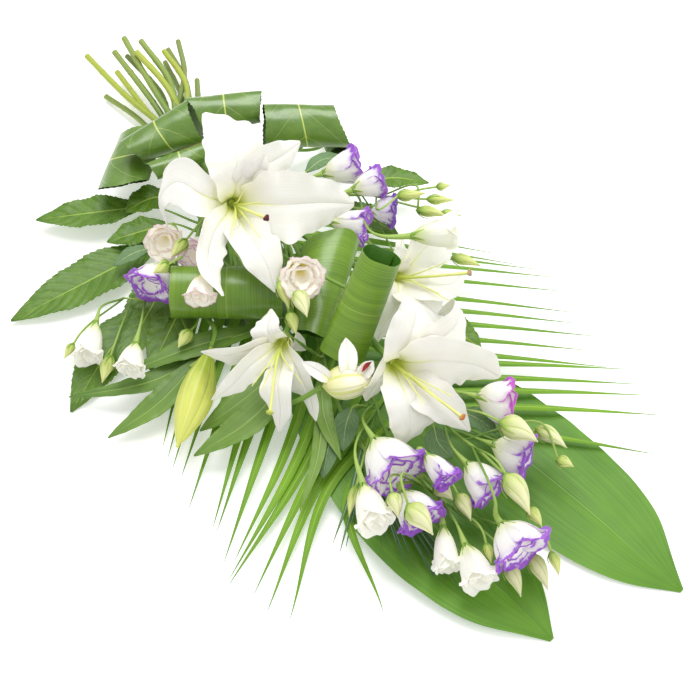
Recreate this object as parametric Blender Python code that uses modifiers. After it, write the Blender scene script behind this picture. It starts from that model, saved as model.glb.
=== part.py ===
"""A tied memorial sheaf, lying on a table: lilies, lisianthus, rolled and flat leaves, a palm frond and grass.

Units are metres, +Z is up, and the table is z = 0. +X runs from the cut stems to the tips of the long leaves.
The origin is on the table, under the middle of the sheaf.

The sheaf is laid out as a florist sees it, from the side where the lilies face. A place is a named
(across, down) on the layout picture, 700 units square, with a height in millimetres above the table, or with a
depth in millimetres towards the viewer. One unit is close to one millimetre in the middle of the sheaf.
"""

import itertools
import math

import bmesh
import bpy
import numpy as np
from mathutils import Matrix, Vector
from mathutils.bvhtree import BVHTree

MM = 0.001

# The viewer's place
VIEW_TURN = math.radians(52)
VIEW_RISE = math.radians(55)
VIEW_DISTANCE = 1.653
VIEW_AIM = Vector((0.0442, 0.0210, 0.0))
PICTURE_SIDE = 700
UNITS_PER_METRE = 1000

TO_VIEWER = Vector((
    math.sin(VIEW_TURN) * math.cos(VIEW_RISE),
    -math.cos(VIEW_TURN) * math.cos(VIEW_RISE),
    math.sin(VIEW_RISE),
))
PICTURE_RIGHT = Vector((math.cos(VIEW_TURN), math.sin(VIEW_TURN), 0))
PICTURE_UP = TO_VIEWER.cross(PICTURE_RIGHT)
EYE = VIEW_AIM + TO_VIEWER * VIEW_DISTANCE

# Sheet thickness and seating
LEAF_THICK = 0.9 * MM
PETAL_THICK = 0.9 * MM
SEAT_GAP = 0.3 * MM
WELD = 0.01 * MM
FINE_STEPS = 16

UP = Vector((0, 0, 1))
X_AXIS = Vector((1, 0, 0))
Y_AXIS = Vector((0, 1, 0))
GOLDEN_ANGLE = math.pi * (3 - math.sqrt(5))
SHARP_ANGLE = math.radians(35)

# Flowers, in millimetres
LILY_TUBE = 18
LILY_CORE = 5
LILY_CORE_RADII = (5.4, 7.2)
LILY_STALK = 3.2
TEPAL_CUP = (0.9, 0.6, 0.25, -0.1, -0.35)
HUB_LENGTH = 5
HUB_RADII = (3.0, 2.6)
FILAMENT_RADIUS = 1.0
PISTIL_RADIUS = 1.6
STIGMA_RADIUS = 3.4
RIB_DEPTH = 0.1

# How a tepal leaves the tube: rises along the flower's axis, and reaches out from it for inner and outer tepals
TEPAL_ROOT_RISE = 2.5
TEPAL_ROOT_REACH = (4.2, 5.8)
TEPAL_NECK_RISE = 19
TEPAL_NECK_REACH = (8, 12)

# Profiles: radii at even steps from base to tip, as shares of the widest
BUD = (0.0, 1.0, 0.80, 0.0)
LILY_BUD = (0.0, 0.42, 0.72, 0.94, 1.0, 0.92, 0.70, 0.40, 0.0)
HALF_OPEN = (0.0, 0.70, 0.96, 1.0, 0.90, 0.60, 0.0)
STIGMA = (0.0, 0.9, 1.0, 0.8, 0.0)

# A rolled leaf starts behind the roll and goes a little over once round it, closing in as it goes
ROLL_START = math.radians(180)
ROLL_SWEEP = math.radians(400)
ROLL_CLOSING = 0.15
ROLL_STALK = 1.8

# The heart of a bloom, ring by ring: reach and height as shares of the bloom's width and length, and lobes
HEART = (
    (0.0, 0.0, 0.0), (0.30, 0.16, 0.0), (0.38, 0.90, 0.08), (0.22, 0.62, 0.0), (0.0, 0.88, 0.0),
)
HEART_LOBES = 3
SIDES_PER_PETAL = 2

# An outer petal, root to rim: reach, height, and its share of the room between its neighbours
OUTER_PETAL = ((0.19, 0.24, 0.08), (0.45, 0.60, 1.0), (0.56, 1.00, 0.84))
PETAL_SPREAD = 0.9
PETAL_DIP = 0.1

# Stalks inside the sheaf, in millimetres
BUNDLE_HALF_LENGTH = 22
STALK_START = 18
STALK_CLEARANCE = 0.6
SEAT_ZONE = 7
STALK_STRIDE = 2.5
STALK_STEPS = (2, 3, 4)
PEDICEL_STEPS = 1
STEM_PLACES = 20
PEDICEL_LIFTS = (0, 5, 10, -5, -10, 16, 24, -16, 32, 40)
PEDICEL_SHIFTS = (0, 7, -7, 15, -15, 24, -24)
PEDICEL_LEADS = (10, 5, 18)
PEDICEL_BENDS = tuple(itertools.product(PEDICEL_LIFTS, PEDICEL_SHIFTS, PEDICEL_LEADS))
PEDICEL_RADIUS = 1.1
BLOOM_STALK_RADIUS = 1.3
BLOOM_SEAT_RADIUS = 3.2
BLOOM_SEAT_LENGTH = 5
LEAF_STALK_RADIUS = 1.3
LEAF_STALK = 2.4
LEADS = (12, 22, 34)
SHARES = (0.5, 0.7, 0.3, 0.85)
DECK_HEIGHTS = (33, 29, 40, 48, 24, 58, 68)
SIDE_SHIFTS = (0, 12, -12, 24, -24, 38, -38)

# What the pieces tell the stems: where each foot is, and where each bloom sits
seats = []
blooms = []


# Places
def sight_line(across, down):
    """The direction in which the viewer sees a place on the layout picture."""
    side = across - PICTURE_SIDE / 2
    rise = PICTURE_SIDE / 2 - down
    return PICTURE_RIGHT * side + PICTURE_UP * rise - TO_VIEWER * (VIEW_DISTANCE * UNITS_PER_METRE)


def above_table(across, down, height):
    """The point seen at (across, down) that is height millimetres above the table."""
    line = sight_line(across, down)
    return EYE + line * ((height * MM - EYE.z) / line.z)


def nearer_than(anchor, across, down, toward):
    """The point seen at (across, down) that is toward millimetres nearer to the viewer than the anchor."""
    line = sight_line(across, down)
    depth = (EYE - anchor).dot(TO_VIEWER) - toward * MM
    return EYE + line * (depth / -line.dot(TO_VIEWER))


# Curves through named points
def smooth(values, share):
    """The value at a share, 0 to 1, of the way along a smooth curve through evenly spaced values."""
    last = len(values) - 1
    at = min(max(share, 0.0), 1.0) * last
    i = min(int(at), last - 1)
    f = at - i
    b, c = values[i], values[i + 1]
    a = values[i - 1] if i > 0 else b * 2 - c
    d = values[i + 2] if i + 2 <= last else c * 2 - b
    return (b * 2 + (c - a) * f + (a * 2 - b * 5 + c * 4 - d) * f**2 + (b * 3 - a - c * 3 + d) * f**3) * 0.5


def curve_through(knots, count):
    """count + 1 evenly spaced points on a smooth curve through the knots, however far apart those lie."""
    spans = [(b - a).length for a, b in zip(knots, knots[1:])]
    slopes = [(b - a) / span for a, b, span in zip(knots, knots[1:], spans)]
    middle = [
        (slopes[i] * spans[i + 1] + slopes[i + 1] * spans[i]) / (spans[i] + spans[i + 1])
        for i in range(len(spans) - 1)
    ]
    tangents = [slopes[0], *middle, slopes[-1]]
    fine = []
    for i, span in enumerate(spans):
        for step in range(FINE_STEPS):
            f = step / FINE_STEPS
            fine.append(
                knots[i] * (1 - 3 * f**2 + 2 * f**3)
                + knots[i + 1] * (3 * f**2 - 2 * f**3)
                + tangents[i] * (span * (f - 2 * f**2 + f**3))
                + tangents[i + 1] * (span * (f**3 - f**2))
            )
    fine = np.array([*fine, knots[-1]])
    length = np.concatenate([[0], np.cumsum(np.linalg.norm(np.diff(fine, axis=0), axis=1))])
    wanted = np.linspace(0, length[-1], count + 1)
    return [Vector(point) for point in np.stack([np.interp(wanted, length, fine[:, k]) for k in range(3)], 1)]


def rows_along(spine, face, count):
    """Points along the spine, each with the directions across the sheet and out of its upper face."""
    points = curve_through(spine, count)
    rows = []
    normal = face
    for i, point in enumerate(points):
        ahead = (points[min(i + 1, count)] - points[max(i - 1, 0)]).normalized()
        normal = (normal - ahead * normal.dot(ahead)).normalized()
        rows.append((point, ahead.cross(normal), normal))
    return rows


# Outlines: half widths at even steps from root to tip, as shares of the widest
TEPAL = (0.10, 0.54, 0.92, 1.0, 0.88, 0.58, 0.08)
LILY_LEAF = (0.35, 0.80, 1.0, 0.96, 0.78, 0.46, 0.06)
LONG_LEAF = (0.28, 0.60, 0.88, 1.0, 1.0, 0.88, 0.58, 0.04)
TOOTHED_LEAF = (0.12, 0.66, 0.97, 1.0, 0.84, 0.52, 0.05)
ROUND_LEAF = (0.22, 0.78, 1.0, 0.92, 0.62, 0.08)
LEAFLET = (0.55, 0.95, 1.0, 0.88, 0.66, 0.38, 0.08)


def blade(spine, face, half_width, outline, along=8, across=2, cup=(0.0, 0.0), fold=0.0,
          wave=0.0, waves=3.0, teeth=0, tooth=0.16):
    """Points of a leaf or petal: rows along its spine, each an arc of half-angle cup, creased by fold."""
    points = []
    for i, (centre, side, normal) in enumerate(rows_along(spine, face, along)):
        u = i / along
        half = half_width * MM * smooth(outline, u)
        if teeth and 0 < i < along:
            half *= 1 + tooth * (0.5 - (u * teeth) % 1)
        bend = smooth(cup, u)
        row = []
        for j in range(across + 1):
            v = 2 * j / across - 1
            out = math.sin(bend * v) / bend if abs(bend) > 0.01 else v
            lift = (1 - math.cos(bend * v)) / bend if abs(bend) > 0.01 else 0.0
            swing = math.sin(waves * math.tau * u + math.copysign(1.0, v))
            ripple = wave * MM * swing * v * v * math.sin(math.pi * u)
            row.append(centre + side * (half * out) + normal * (half * (lift + fold * abs(v)) + ripple))
        points.append(row)
    return points


def rim_of(one, other, height):
    """The middle of a roll's end, seen between two places of its rim, and half the way between them."""
    middle = above_table((one[0] + other[0]) / 2, (one[1] + other[1]) / 2, height)
    return middle, (nearer_than(middle, *one, 0) - nearer_than(middle, *other, 0)) / 2


def rolled(end_a, end_b, depth, slant_a, slant_b, along):
    """Points of a leaf rolled round the line between two ends. The leaf's length runs round the roll.

    An end's slant is how much further the roll reaches there on the viewer's side than in its middle.
    """
    (a, rim_a), (b, rim_b) = rim_of(*end_a), rim_of(*end_b)
    axis = (b - a).normalized()
    zero = (TO_VIEWER - axis * TO_VIEWER.dot(axis)).normalized()
    quarter = axis.cross(zero)
    rim_a *= math.copysign(1, rim_a.dot(quarter))
    rim_b *= math.copysign(1, rim_b.dot(quarter))
    points = []
    for i in range(along + 1):
        angle = ROLL_START + ROLL_SWEEP * i / along
        closer = 1 - ROLL_CLOSING * i / along
        row = []
        for middle, rim, further in ((a, rim_a, -slant_a), (b, rim_b, slant_b)):
            out = (zero * (math.cos(angle) * depth * MM) + rim * math.sin(angle)) * closer
            row.append(middle + out + axis * (further * math.cos(angle) * MM))
        points.append(row)
    return points


# Solids
def show(obj):
    sheaf.objects.link(obj)
    return obj


def object_of(name, work):
    mesh = bpy.data.meshes.new(name)
    work.to_mesh(mesh)
    work.free()
    return show(bpy.data.objects.new(name, mesh))


def sheet(name, points, thick=LEAF_THICK):
    """A grid primitive laid on the points, in triangles, thickened to a closed leaf or petal."""
    along, across = len(points) - 1, len(points[0]) - 1
    work = bmesh.new()
    bmesh.ops.create_grid(work, x_segments=along, y_segments=across, size=1)
    for vert in work.verts:
        i = round((vert.co.x + 1) / 2 * along)
        j = round((vert.co.y + 1) / 2 * across)
        vert.co = points[i][j]
    return skinned(name, work, thick)


def skinned(name, work, thick):
    """A closed solid from an open surface, thickened evenly to both sides of it."""
    bmesh.ops.triangulate(work, faces=work.faces)
    obj = object_of(name, work)
    skin = obj.modifiers.new("thickness", "SOLIDIFY")
    skin.thickness = thick
    skin.offset = 0
    return obj


def tube(name, points, radius, sides=6, end_radius=None, flare=None):
    """A stem: a bevelled curve with filled caps, made a mesh to be joined. Its end can taper or flare."""
    curve = bpy.data.curves.new(name, "CURVE")
    curve.dimensions = "3D"
    curve.bevel_depth = radius * MM
    curve.bevel_resolution = sides // 2 - 2
    curve.use_fill_caps = True
    spline = curve.splines.new("POLY")
    spline.points.add(len(points) - 1)
    end_share = 1.0 if end_radius is None else end_radius / radius
    for i, point in enumerate(points):
        spline.points[i].co = (*point, 1)
        spline.points[i].radius = 1 + (end_share - 1) * i / (len(points) - 1)
    if flare:
        spline.points[-1].radius = flare / radius
    drawn = show(bpy.data.objects.new(name, curve))
    mesh = bpy.data.meshes.new_from_object(drawn.evaluated_get(bpy.context.evaluated_depsgraph_get()))
    bpy.data.objects.remove(drawn)
    work = bmesh.new()
    work.from_mesh(mesh)
    bmesh.ops.remove_doubles(work, verts=work.verts, dist=WELD)
    bpy.data.meshes.remove(mesh)
    return object_of(name, work)


def turned(name, base, tip, radius, profile, around=6, rings=5, ribs=0):
    """A bud or a core: a sphere primitive whose rings take the radii of the profile, from base to tip."""
    axis = (tip - base).normalized()
    zero = axis.orthogonal().normalized()
    quarter = axis.cross(zero)
    work = bmesh.new()
    bmesh.ops.create_uvsphere(work, u_segments=around, v_segments=rings, radius=1)
    for vert in work.verts:
        share = 1 - math.acos(max(-1.0, min(1.0, vert.co.z))) / math.pi
        angle = math.atan2(vert.co.y, vert.co.x)
        out = zero * math.cos(angle) + quarter * math.sin(angle)
        rib = 1 + RIB_DEPTH * math.cos(ribs * angle) if ribs else 1
        vert.co = base.lerp(tip, share) + out * (rib * radius * MM * max(0.0, smooth(profile, share)))
    return object_of(name, work)


def frustum(name, base, top, base_radius, top_radius, sides=8):
    """A short cone with flat ends from base to top."""
    work = bmesh.new()
    depth = (top - base).length
    bmesh.ops.create_cone(
        work, cap_ends=True, segments=sides, radius1=base_radius * MM, radius2=top_radius * MM, depth=depth
    )
    lie = (top - base).to_track_quat("Z", "Y").to_matrix().to_4x4()
    lie.translation = (base + top) / 2
    bmesh.ops.transform(work, matrix=lie, verts=work.verts)
    return object_of(name, work)


def fuse(name, pieces):
    """Joins overlapping solids into one body, by one Boolean union on a collection, and drops loose scraps."""
    node = pieces[0]
    node.name = name
    rest = bpy.data.collections.new(name + "_repeats")
    bpy.context.scene.collection.children.link(rest)
    for piece in pieces[1:]:
        sheaf.objects.unlink(piece)
        rest.objects.link(piece)
    join = node.modifiers.new("join", "BOOLEAN")
    join.operation = "UNION"
    # The exact solver is far too slow on so many crossing petals and stalks, and every piece here is closed
    join.solver = "MANIFOLD"
    join.operand_type = "COLLECTION"
    join.collection = rest
    mesh = bpy.data.meshes.new_from_object(node.evaluated_get(bpy.context.evaluated_depsgraph_get()))
    node.modifiers.clear()
    node.data = mesh
    for piece in list(rest.objects):
        bpy.data.objects.remove(piece)
    bpy.data.collections.remove(rest)
    keep_one_body(node)
    return node


def keep_one_body(node):
    """Keeps the largest connected surface of a joined piece: the rest are scraps or skins of sealed hollows."""
    work = bmesh.new()
    work.from_mesh(node.data)
    unseen = set(work.verts)
    bodies = []
    while unseen:
        body = {unseen.pop()}
        edge_of_body = list(body)
        while edge_of_body:
            vert = edge_of_body.pop()
            for edge in vert.link_edges:
                other = edge.other_vert(vert)
                if other not in body:
                    body.add(other)
                    edge_of_body.append(other)
        unseen -= body
        bodies.append(body)
    largest = max(bodies, key=len)
    for body in bodies:
        if body is not largest:
            bmesh.ops.delete(work, geom=list(body), context="VERTS")
    work.to_mesh(node.data)
    work.free()


# Materials
def material(name, colour, roughness):
    made = bpy.data.materials.new(name)
    made.use_nodes = True
    shader = made.node_tree.nodes["Principled BSDF"]
    shader.inputs["Base Color"].default_value = (*colour, 1)
    shader.inputs["Roughness"].default_value = roughness
    shader.inputs["Metallic"].default_value = 0
    return made


def finish(obj, foot, made):
    """Gives a node its material and puts its origin at its foot."""
    obj.data.materials.clear()
    obj.data.materials.append(made)
    obj.data.shade_smooth()
    obj.data.set_sharp_from_angle(angle=SHARP_ANGLE)
    obj.data.transform(Matrix.Translation(-foot))
    obj.location = foot
    return obj


# Recipes
def spots(*places):
    return [above_table(*place) for place in places]


def leaning(right, up, toward):
    """The direction that leans so far to the right, up and towards the viewer on the layout picture."""
    return (PICTURE_RIGHT * right + PICTURE_UP * up + TO_VIEWER * toward).normalized()


def seat(name, foot, ahead, radius):
    """Notes where a stalk has to reach: a piece's foot, the way the piece leaves it, and the stalk's radius."""
    seats.append((name, foot, ahead.normalized(), radius))


def leaf(name, places, half_width, outline, made, **shape):
    """One leaf that lies along its places."""
    points = blade(spots(*places), UP, half_width, outline, **shape)
    middle = len(points[0]) // 2
    foot = points[0][middle]
    seat(name, foot, points[1][middle] - foot, LEAF_STALK)
    return finish(sheet(name, points), foot, made)


def loop(name, ends, made, along):
    """One leaf rolled or folded over into a loop between its two ends."""
    points = rolled(*ends, along)
    foot, after = ((row[0] + row[-1]) / 2 for row in points[:2])
    ahead = (after - foot).normalized()
    seat(name, foot - ahead * (2 * SEAT_GAP), ahead, ROLL_STALK)
    return finish(sheet(name, points), foot, made)


def lily(name, throat_place, lean, tepals, filaments, pistil):
    """An open lily: six waved tepals round a core, and its filaments and pistil in a node of their own."""
    throat = above_table(*throat_place)
    axis = leaning(*lean)
    foot = throat - axis * (LILY_TUBE * MM)
    core_top = foot + axis * (LILY_CORE * MM)
    pieces = [frustum(name, foot, core_top, *LILY_CORE_RADII, sides=6)]
    for k, (half_width, wave, *places) in enumerate(tepals):
        outer = k % 2
        knots = [nearer_than(throat, *place) for place in places]
        radial = knots[0] - throat
        radial = (radial - axis * radial.dot(axis)).normalized()
        root = foot + axis * (TEPAL_ROOT_RISE * MM) + radial * (TEPAL_ROOT_REACH[outer] * MM)
        neck = foot + axis * (TEPAL_NECK_RISE * MM) + radial * (TEPAL_NECK_REACH[outer] * MM)
        shape = blade([root, neck, *knots], axis * 0.5 - radial, half_width, TEPAL, along=len(places) + 1,
                      cup=TEPAL_CUP, wave=wave, waves=2.0)
        pieces.append(sheet("tepal", shape, PETAL_THICK))
    seat(name, foot, axis, LILY_STALK)
    finish(fuse(name, pieces), foot, petal_white)

    hub_foot = core_top + axis * SEAT_GAP
    pieces = [frustum(name + "_stamens", hub_foot, hub_foot + axis * (HUB_LENGTH * MM), *HUB_RADII, sides=6)]
    for place in filaments:
        tip = nearer_than(throat, *place)
        radial = (tip - throat - axis * (tip - throat).dot(axis)).normalized()
        knots = [hub_foot + axis * (3 * MM), throat + axis * (8 * MM) + radial * (2 * MM), tip]
        pieces.append(tube("filament", curve_through(knots, 2), FILAMENT_RADIUS, sides=4, end_radius=0.7))
    tip = nearer_than(throat, *pistil)
    radial = (tip - throat - axis * (tip - throat).dot(axis)).normalized()
    knots = [hub_foot + axis * (2 * MM), throat + axis * (14 * MM) + radial * (3 * MM), tip]
    path = curve_through(knots, 3)
    pieces.append(tube("pistil", path, PISTIL_RADIUS, sides=4))
    ahead = (path[-1] - path[-2]).normalized()
    stigma_foot, stigma_top = tip - ahead * (2 * MM), tip + ahead * (3 * MM)
    pieces.append(turned("stigma", stigma_foot, stigma_top, STIGMA_RADIUS, STIGMA, around=5, rings=3))
    finish(fuse(name + "_stamens", pieces), hub_foot, filament_green)


def bloom(name, base_place, mouth_place, width, petals, flare):
    """A lisianthus bloom: a heart of folded petals, with outer petals cupped round it."""
    base = above_table(*base_place)
    mouth = above_table(*mouth_place)
    axis = (mouth - base).normalized()
    length = (mouth - base).length
    zero = axis.orthogonal().normalized()
    quarter = axis.cross(zero)

    def cup_point(angle, reach, high):
        out = zero * math.cos(angle) + quarter * math.sin(angle)
        return base + axis * (length * high) + out * (width * MM * reach)

    pieces = [folded_heart(name, cup_point, SIDES_PER_PETAL * petals)]
    for k in range(petals):
        middle = math.tau * (k + 0.5 / SIDES_PER_PETAL) / petals
        spread = PETAL_SPREAD * math.pi / petals
        points = []
        for reach, high, share in OUTER_PETAL:
            row = []
            for v in (-1, 0, 1):
                open_out = 1 + (flare - 1) * high
                dip = PETAL_DIP * v * v * high * high
                row.append(cup_point(middle + spread * share * v, reach * open_out, high - dip))
            points.append(row)
        pieces.append(sheet("petal", points, PETAL_THICK))
    node = fuse(name, pieces)
    blooms.append((name, base, axis))
    return finish(node, base, petal_white)


def folded_heart(name, cup_point, sides):
    """The heart of a bloom: a sphere primitive whose rings are folded down and up into rims inside rims."""
    work = bmesh.new()
    bmesh.ops.create_uvsphere(work, u_segments=sides, v_segments=len(HEART) - 1, radius=1)
    for vert in work.verts:
        ring = round((1 - math.acos(max(-1.0, min(1.0, vert.co.z))) / math.pi) * (len(HEART) - 1))
        angle = math.atan2(vert.co.y, vert.co.x)
        reach, high, lobes = HEART[ring]
        vert.co = cup_point(angle, reach, high * (1 + lobes * math.cos(HEART_LOBES * angle)))
    return object_of(name, work)


def way_through(tree, knots_for, tries, radius, steps):
    """The first of a few bends that clears every other piece, or else the one that comes nearest to it."""
    best = None
    for bend in tries:
        *knots, end = knots_for(*bend)
        path = [*curve_through(knots, steps), end]
        faults = blocked(tree, path, radius)
        if best is None or faults < best[0]:
            best = (faults, path)
        if faults == 0:
            break
    return best


def pedicel(tree, stem, share, base, ahead, radius):
    """A thin stalk from a share of the stem to the base of a bud or a bloom's seat."""
    start = curve_through(stem, STEM_PLACES)[round(share * STEM_PLACES)]
    reach = (base - start).length

    def knots_for(lift, shift, lead):
        before = base - ahead * min(reach * 0.5, lead * MM)
        aside = (base - start).cross(TO_VIEWER).normalized()
        return [start, before + TO_VIEWER * (lift * MM) + aside * (shift * MM), base]

    return way_through(tree, knots_for, PEDICEL_BENDS, radius, PEDICEL_STEPS)[1]


def bud_pieces(tree, buds, stem):
    """Buds, each base to tip, on thin stalks that leave the stem at a share of its length."""
    pieces = []
    for share, base_place, tip_place, width in buds:
        base, tip = above_table(*base_place), above_table(*tip_place)
        ahead = (tip - base).normalized()
        path = pedicel(tree, stem, share, base + ahead * (2 * MM), ahead, PEDICEL_RADIUS)
        pieces.append(tube("pedicel", path, PEDICEL_RADIUS, sides=4))
        pieces.append(turned("bud", base, tip, width / 2, BUD, around=5, rings=3))
    return pieces


def bloom_seats(tree, named, stem):
    """Green seats under the named blooms, on stalks from the stem."""
    pieces = []
    for share, bloom_name in named:
        base, axis = next((base, axis) for name, base, axis in blooms if name == bloom_name)
        top = base - axis * SEAT_GAP
        path = pedicel(tree, stem, share, top - axis * (BLOOM_SEAT_LENGTH * MM), axis, BLOOM_STALK_RADIUS)
        pieces.append(tube("receptacle", [*path, top], BLOOM_STALK_RADIUS, sides=4, flare=BLOOM_SEAT_RADIUS))
    return pieces


def stem_leaf(stem, share, half_width, places, outline, stalked=True, **shape):
    """A leaf that leaves the stem at a share of its length, by a stalk of its own or straight from its root."""
    start = curve_through(stem, STEM_PLACES)[round(share * STEM_PLACES)]
    spine = spots(*places)
    if not stalked:
        return [sheet("leaf", blade([start, *spine[1:]], UP, half_width, outline, **shape))]
    stalk = [start, spine[0] + (spine[1] - spine[0]).normalized() * (2 * MM)]
    shown = sheet("leaf", blade(spine, UP, half_width, outline, **shape))
    return [tube("petiole", stalk, LEAF_STALK_RADIUS, sides=4), shown]


def leafy_stem(name, places, radius, leaves, made, outline, **shape):
    """A stem with leaves on stalks: a share of the stem, the half width, and the leaf's places."""
    stem = spots(*places)
    pieces = [tube(name, curve_through(stem, 5), radius, sides=4, end_radius=radius * 0.7)]
    for share, half_width, *leaf_places in leaves:
        pieces += stem_leaf(stem, share, half_width, leaf_places, outline, **shape)
    seat(name, stem[0], stem[1] - stem[0], radius)
    return finish(fuse(name, pieces), stem[0], made)


def spray(name, places, radius, buds=(), seated=(), leaves=()):
    """A leafy lisianthus stem with its buds and the seats of its blooms."""
    tree = tree_of_pieces()
    stem = spots(*places)
    pieces = [tube(name, curve_through(stem, 5), radius, sides=4, end_radius=radius * 0.6)]
    pieces += bud_pieces(tree, buds, stem)
    pieces += bloom_seats(tree, seated, stem)
    for share, half_width, *leaf_places in leaves:
        pieces += stem_leaf(stem, share, half_width, leaf_places, ROUND_LEAF, along=4, across=1)
    seat(name, stem[0], stem[1] - stem[0], radius + 0.3)
    return finish(fuse(name, pieces), stem[0], spray_green)


# Cut stems: the cut end, a place on the way to the tie, and the radius
CUT_STEMS = (
    ((87, 56, 25), (123, 93, 27), 3.3),
    ((117, 72, 20), (153, 118, 24), 3.0),
    ((114.5, 52, 30), (150, 98, 30), 3.3),
    ((124, 38, 45), (141, 68, 41), 3.3),
    ((127, 56, 28), (160, 92, 28), 3.0),
    ((136.5, 52, 50), (168, 88, 44), 3.4),
    ((141, 41, 40), (168, 78, 38), 3.4),
    ((164, 51, 35), (185, 82, 34), 3.2),
    ((168, 49, 28), (184, 76, 28), 2.6),
    ((178, 41, 30), (184, 66, 30), 3.0),
    ((165, 62, 15), (180, 92, 18), 2.8),
    ((197, 80, 10), (198, 100, 15), 3.0),
    ((106, 96.5, 6), (135, 116, 12), 3.0),
)
TIE_PLACE = (200, 163)
TIE_WIDTH = 24
TIE_OUTSIDE = 26
TIE = above_table(*TIE_PLACE, TIE_OUTSIDE * math.cos(math.pi / 12))
TIE_INSIDE = 20
BUNDLE_CORE = 14
BUNDLE_SPREAD = 14


def cut_stems():
    """The fan of cut stems behind the tie, and the core of the bundle inside it."""
    half = X_AXIS * (BUNDLE_HALF_LENGTH * MM)
    pieces = [frustum("stem_bunch", TIE - half, TIE + half, BUNDLE_CORE, BUNDLE_CORE, sides=10)]
    for k, (end_place, way_place, radius) in enumerate(CUT_STEMS):
        turn = k * GOLDEN_ANGLE
        out = BUNDLE_SPREAD * math.sqrt((k + 0.5) / len(CUT_STEMS)) * MM
        slot = Vector((0, math.cos(turn) * out, math.sin(turn) * out))
        knots = [above_table(*end_place), above_table(*way_place), TIE + slot - half * 0.8, TIE + slot * 0.7]
        pieces.append(tube("stem", curve_through(knots, 2), radius))
    return pieces


def binding_band():
    """The tie: a flat band round the bundle, with twelve flats and one of them down on the table."""
    work = bmesh.new()
    flats = 12
    inside, outside, half = TIE_INSIDE * MM, TIE_OUTSIDE * MM, TIE_WIDTH / 2 * MM
    profile = [(-half, inside), (-half, outside), (half, outside), (half, inside)]
    first = [work.verts.new((x, 0, radius)) for x, radius in profile]
    edges = [work.edges.new((first[i], first[(i + 1) % 4])) for i in range(4)]
    bmesh.ops.spin(
        work, geom=first + edges, cent=(0, 0, 0), axis=(1, 0, 0), angle=math.tau, steps=flats, use_merge=True
    )
    bmesh.ops.remove_doubles(work, verts=work.verts, dist=WELD)
    bmesh.ops.rotate(work, verts=work.verts, matrix=Matrix.Rotation(math.pi / flats, 3, "X"))
    bmesh.ops.recalc_face_normals(work, faces=work.faces)
    bmesh.ops.translate(work, verts=work.verts, vec=TIE)
    return finish(object_of("binding_band", work), TIE, twine)


# Fatsia leaves rolled round the tie. Each end is two places of its rim and its height; then come the half depth
# and how much further each end reaches on the viewer's side: less than nothing where its mouth shows
FATSIA_ROLLS = (
    (((97, 190), (152, 180), 47), ((120, 134), (165, 125), 46), 16, 8, -5),
    (((120, 141), (146, 161), 77), ((188, 99), (205, 143), 91), 15, 3, -4),
    (((184, 97), (196, 138), 60), ((262, 90), (260, 124), 64), 13, 0, 0),
    (((146, 163), (159, 180), 87), ((211, 140), (214, 159), 88), 9, 2, -4),
    (((266, 105), (266, 143), 62), ((333, 104), (352, 149), 64), 17, -3, 0),
    (((311, 118), (333, 110), 29), ((327, 158), (349, 150), 29), 11, 0, 0),
)

# Saw-edged leaves on two leafy stems: places, radius, leaves (share of the stem, half width, places)
SAW_LEAF_STEMS = {
    "saw_leaves_left": (
        ((204, 212, 30), (196, 240, 25), (190, 268, 21), (186, 292, 18)),
        2.2,
        (
            (0.15, 20, (143, 207, 20), (100, 212, 20), (36, 220, 14)),
            (0.1, 17, (170, 196, 27), (150, 199, 30), (125, 212, 28)),
            (0.25, 17, (168, 224, 25), (140, 232, 26), (107, 242, 22)),
            (0.4, 27, (158, 244, 14), (100, 275, 13), (11, 321, 6)),
            (0.9, 25, (150, 305, 12), (110, 350, 9), (71, 412, 1.5)),
            (0.6, 25, (176, 264, 19), (150, 310, 20), (118, 368, 15)),
            (0.9, 21, (186, 297, 20), (171, 328, 21), (150, 370, 17)),
            (0.2, 22, (212, 226, 27), (236, 254, 26), (262, 300, 25)),
            (1.0, 19, (204, 306, 10), (248, 318, 9), (292, 320, 7)),
        ),
    ),
    "saw_leaves_right": (
        ((300, 215, 30), (345, 226, 32), (395, 272, 34), (420, 308, 35)),
        2.0,
        (
            (0.2, 14, (358, 184, 36), (395, 178, 38), (429, 183, 36)),
            (1.0, 16, (430, 318, 36), (455, 330, 36), (482, 350, 30)),
            (0.35, 15, (334, 206, 29), (360, 214, 28), (398, 234, 27)),
        ),
    ),
}

# Broad leaves folded over into loops, in the same way
LOOPS = (
    (((293, 330), (331, 340), 58), ((300, 250), (361, 243), 78), 18, 5, 12),
    (((401, 263), (361, 247), 150), ((364, 362), (318, 345), 76), 17, -5, 3),
    (((172, 265), (171, 321), 60), ((283, 265), (284, 321), 60), 23, 0, 0),
)

# The two long flat leaves: half width, then places
LONG_LEAVES = (
    (60, (330, 345, 5), (420, 385, 6), (520, 455, 7), (600, 520, 6), (650, 565, 4), (682, 591, 1)),
    (60, (290, 335, 12), (350, 420, 13), (425, 515, 13), (490, 580, 11), (530, 617, 7), (552, 640, 1)),
)

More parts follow.
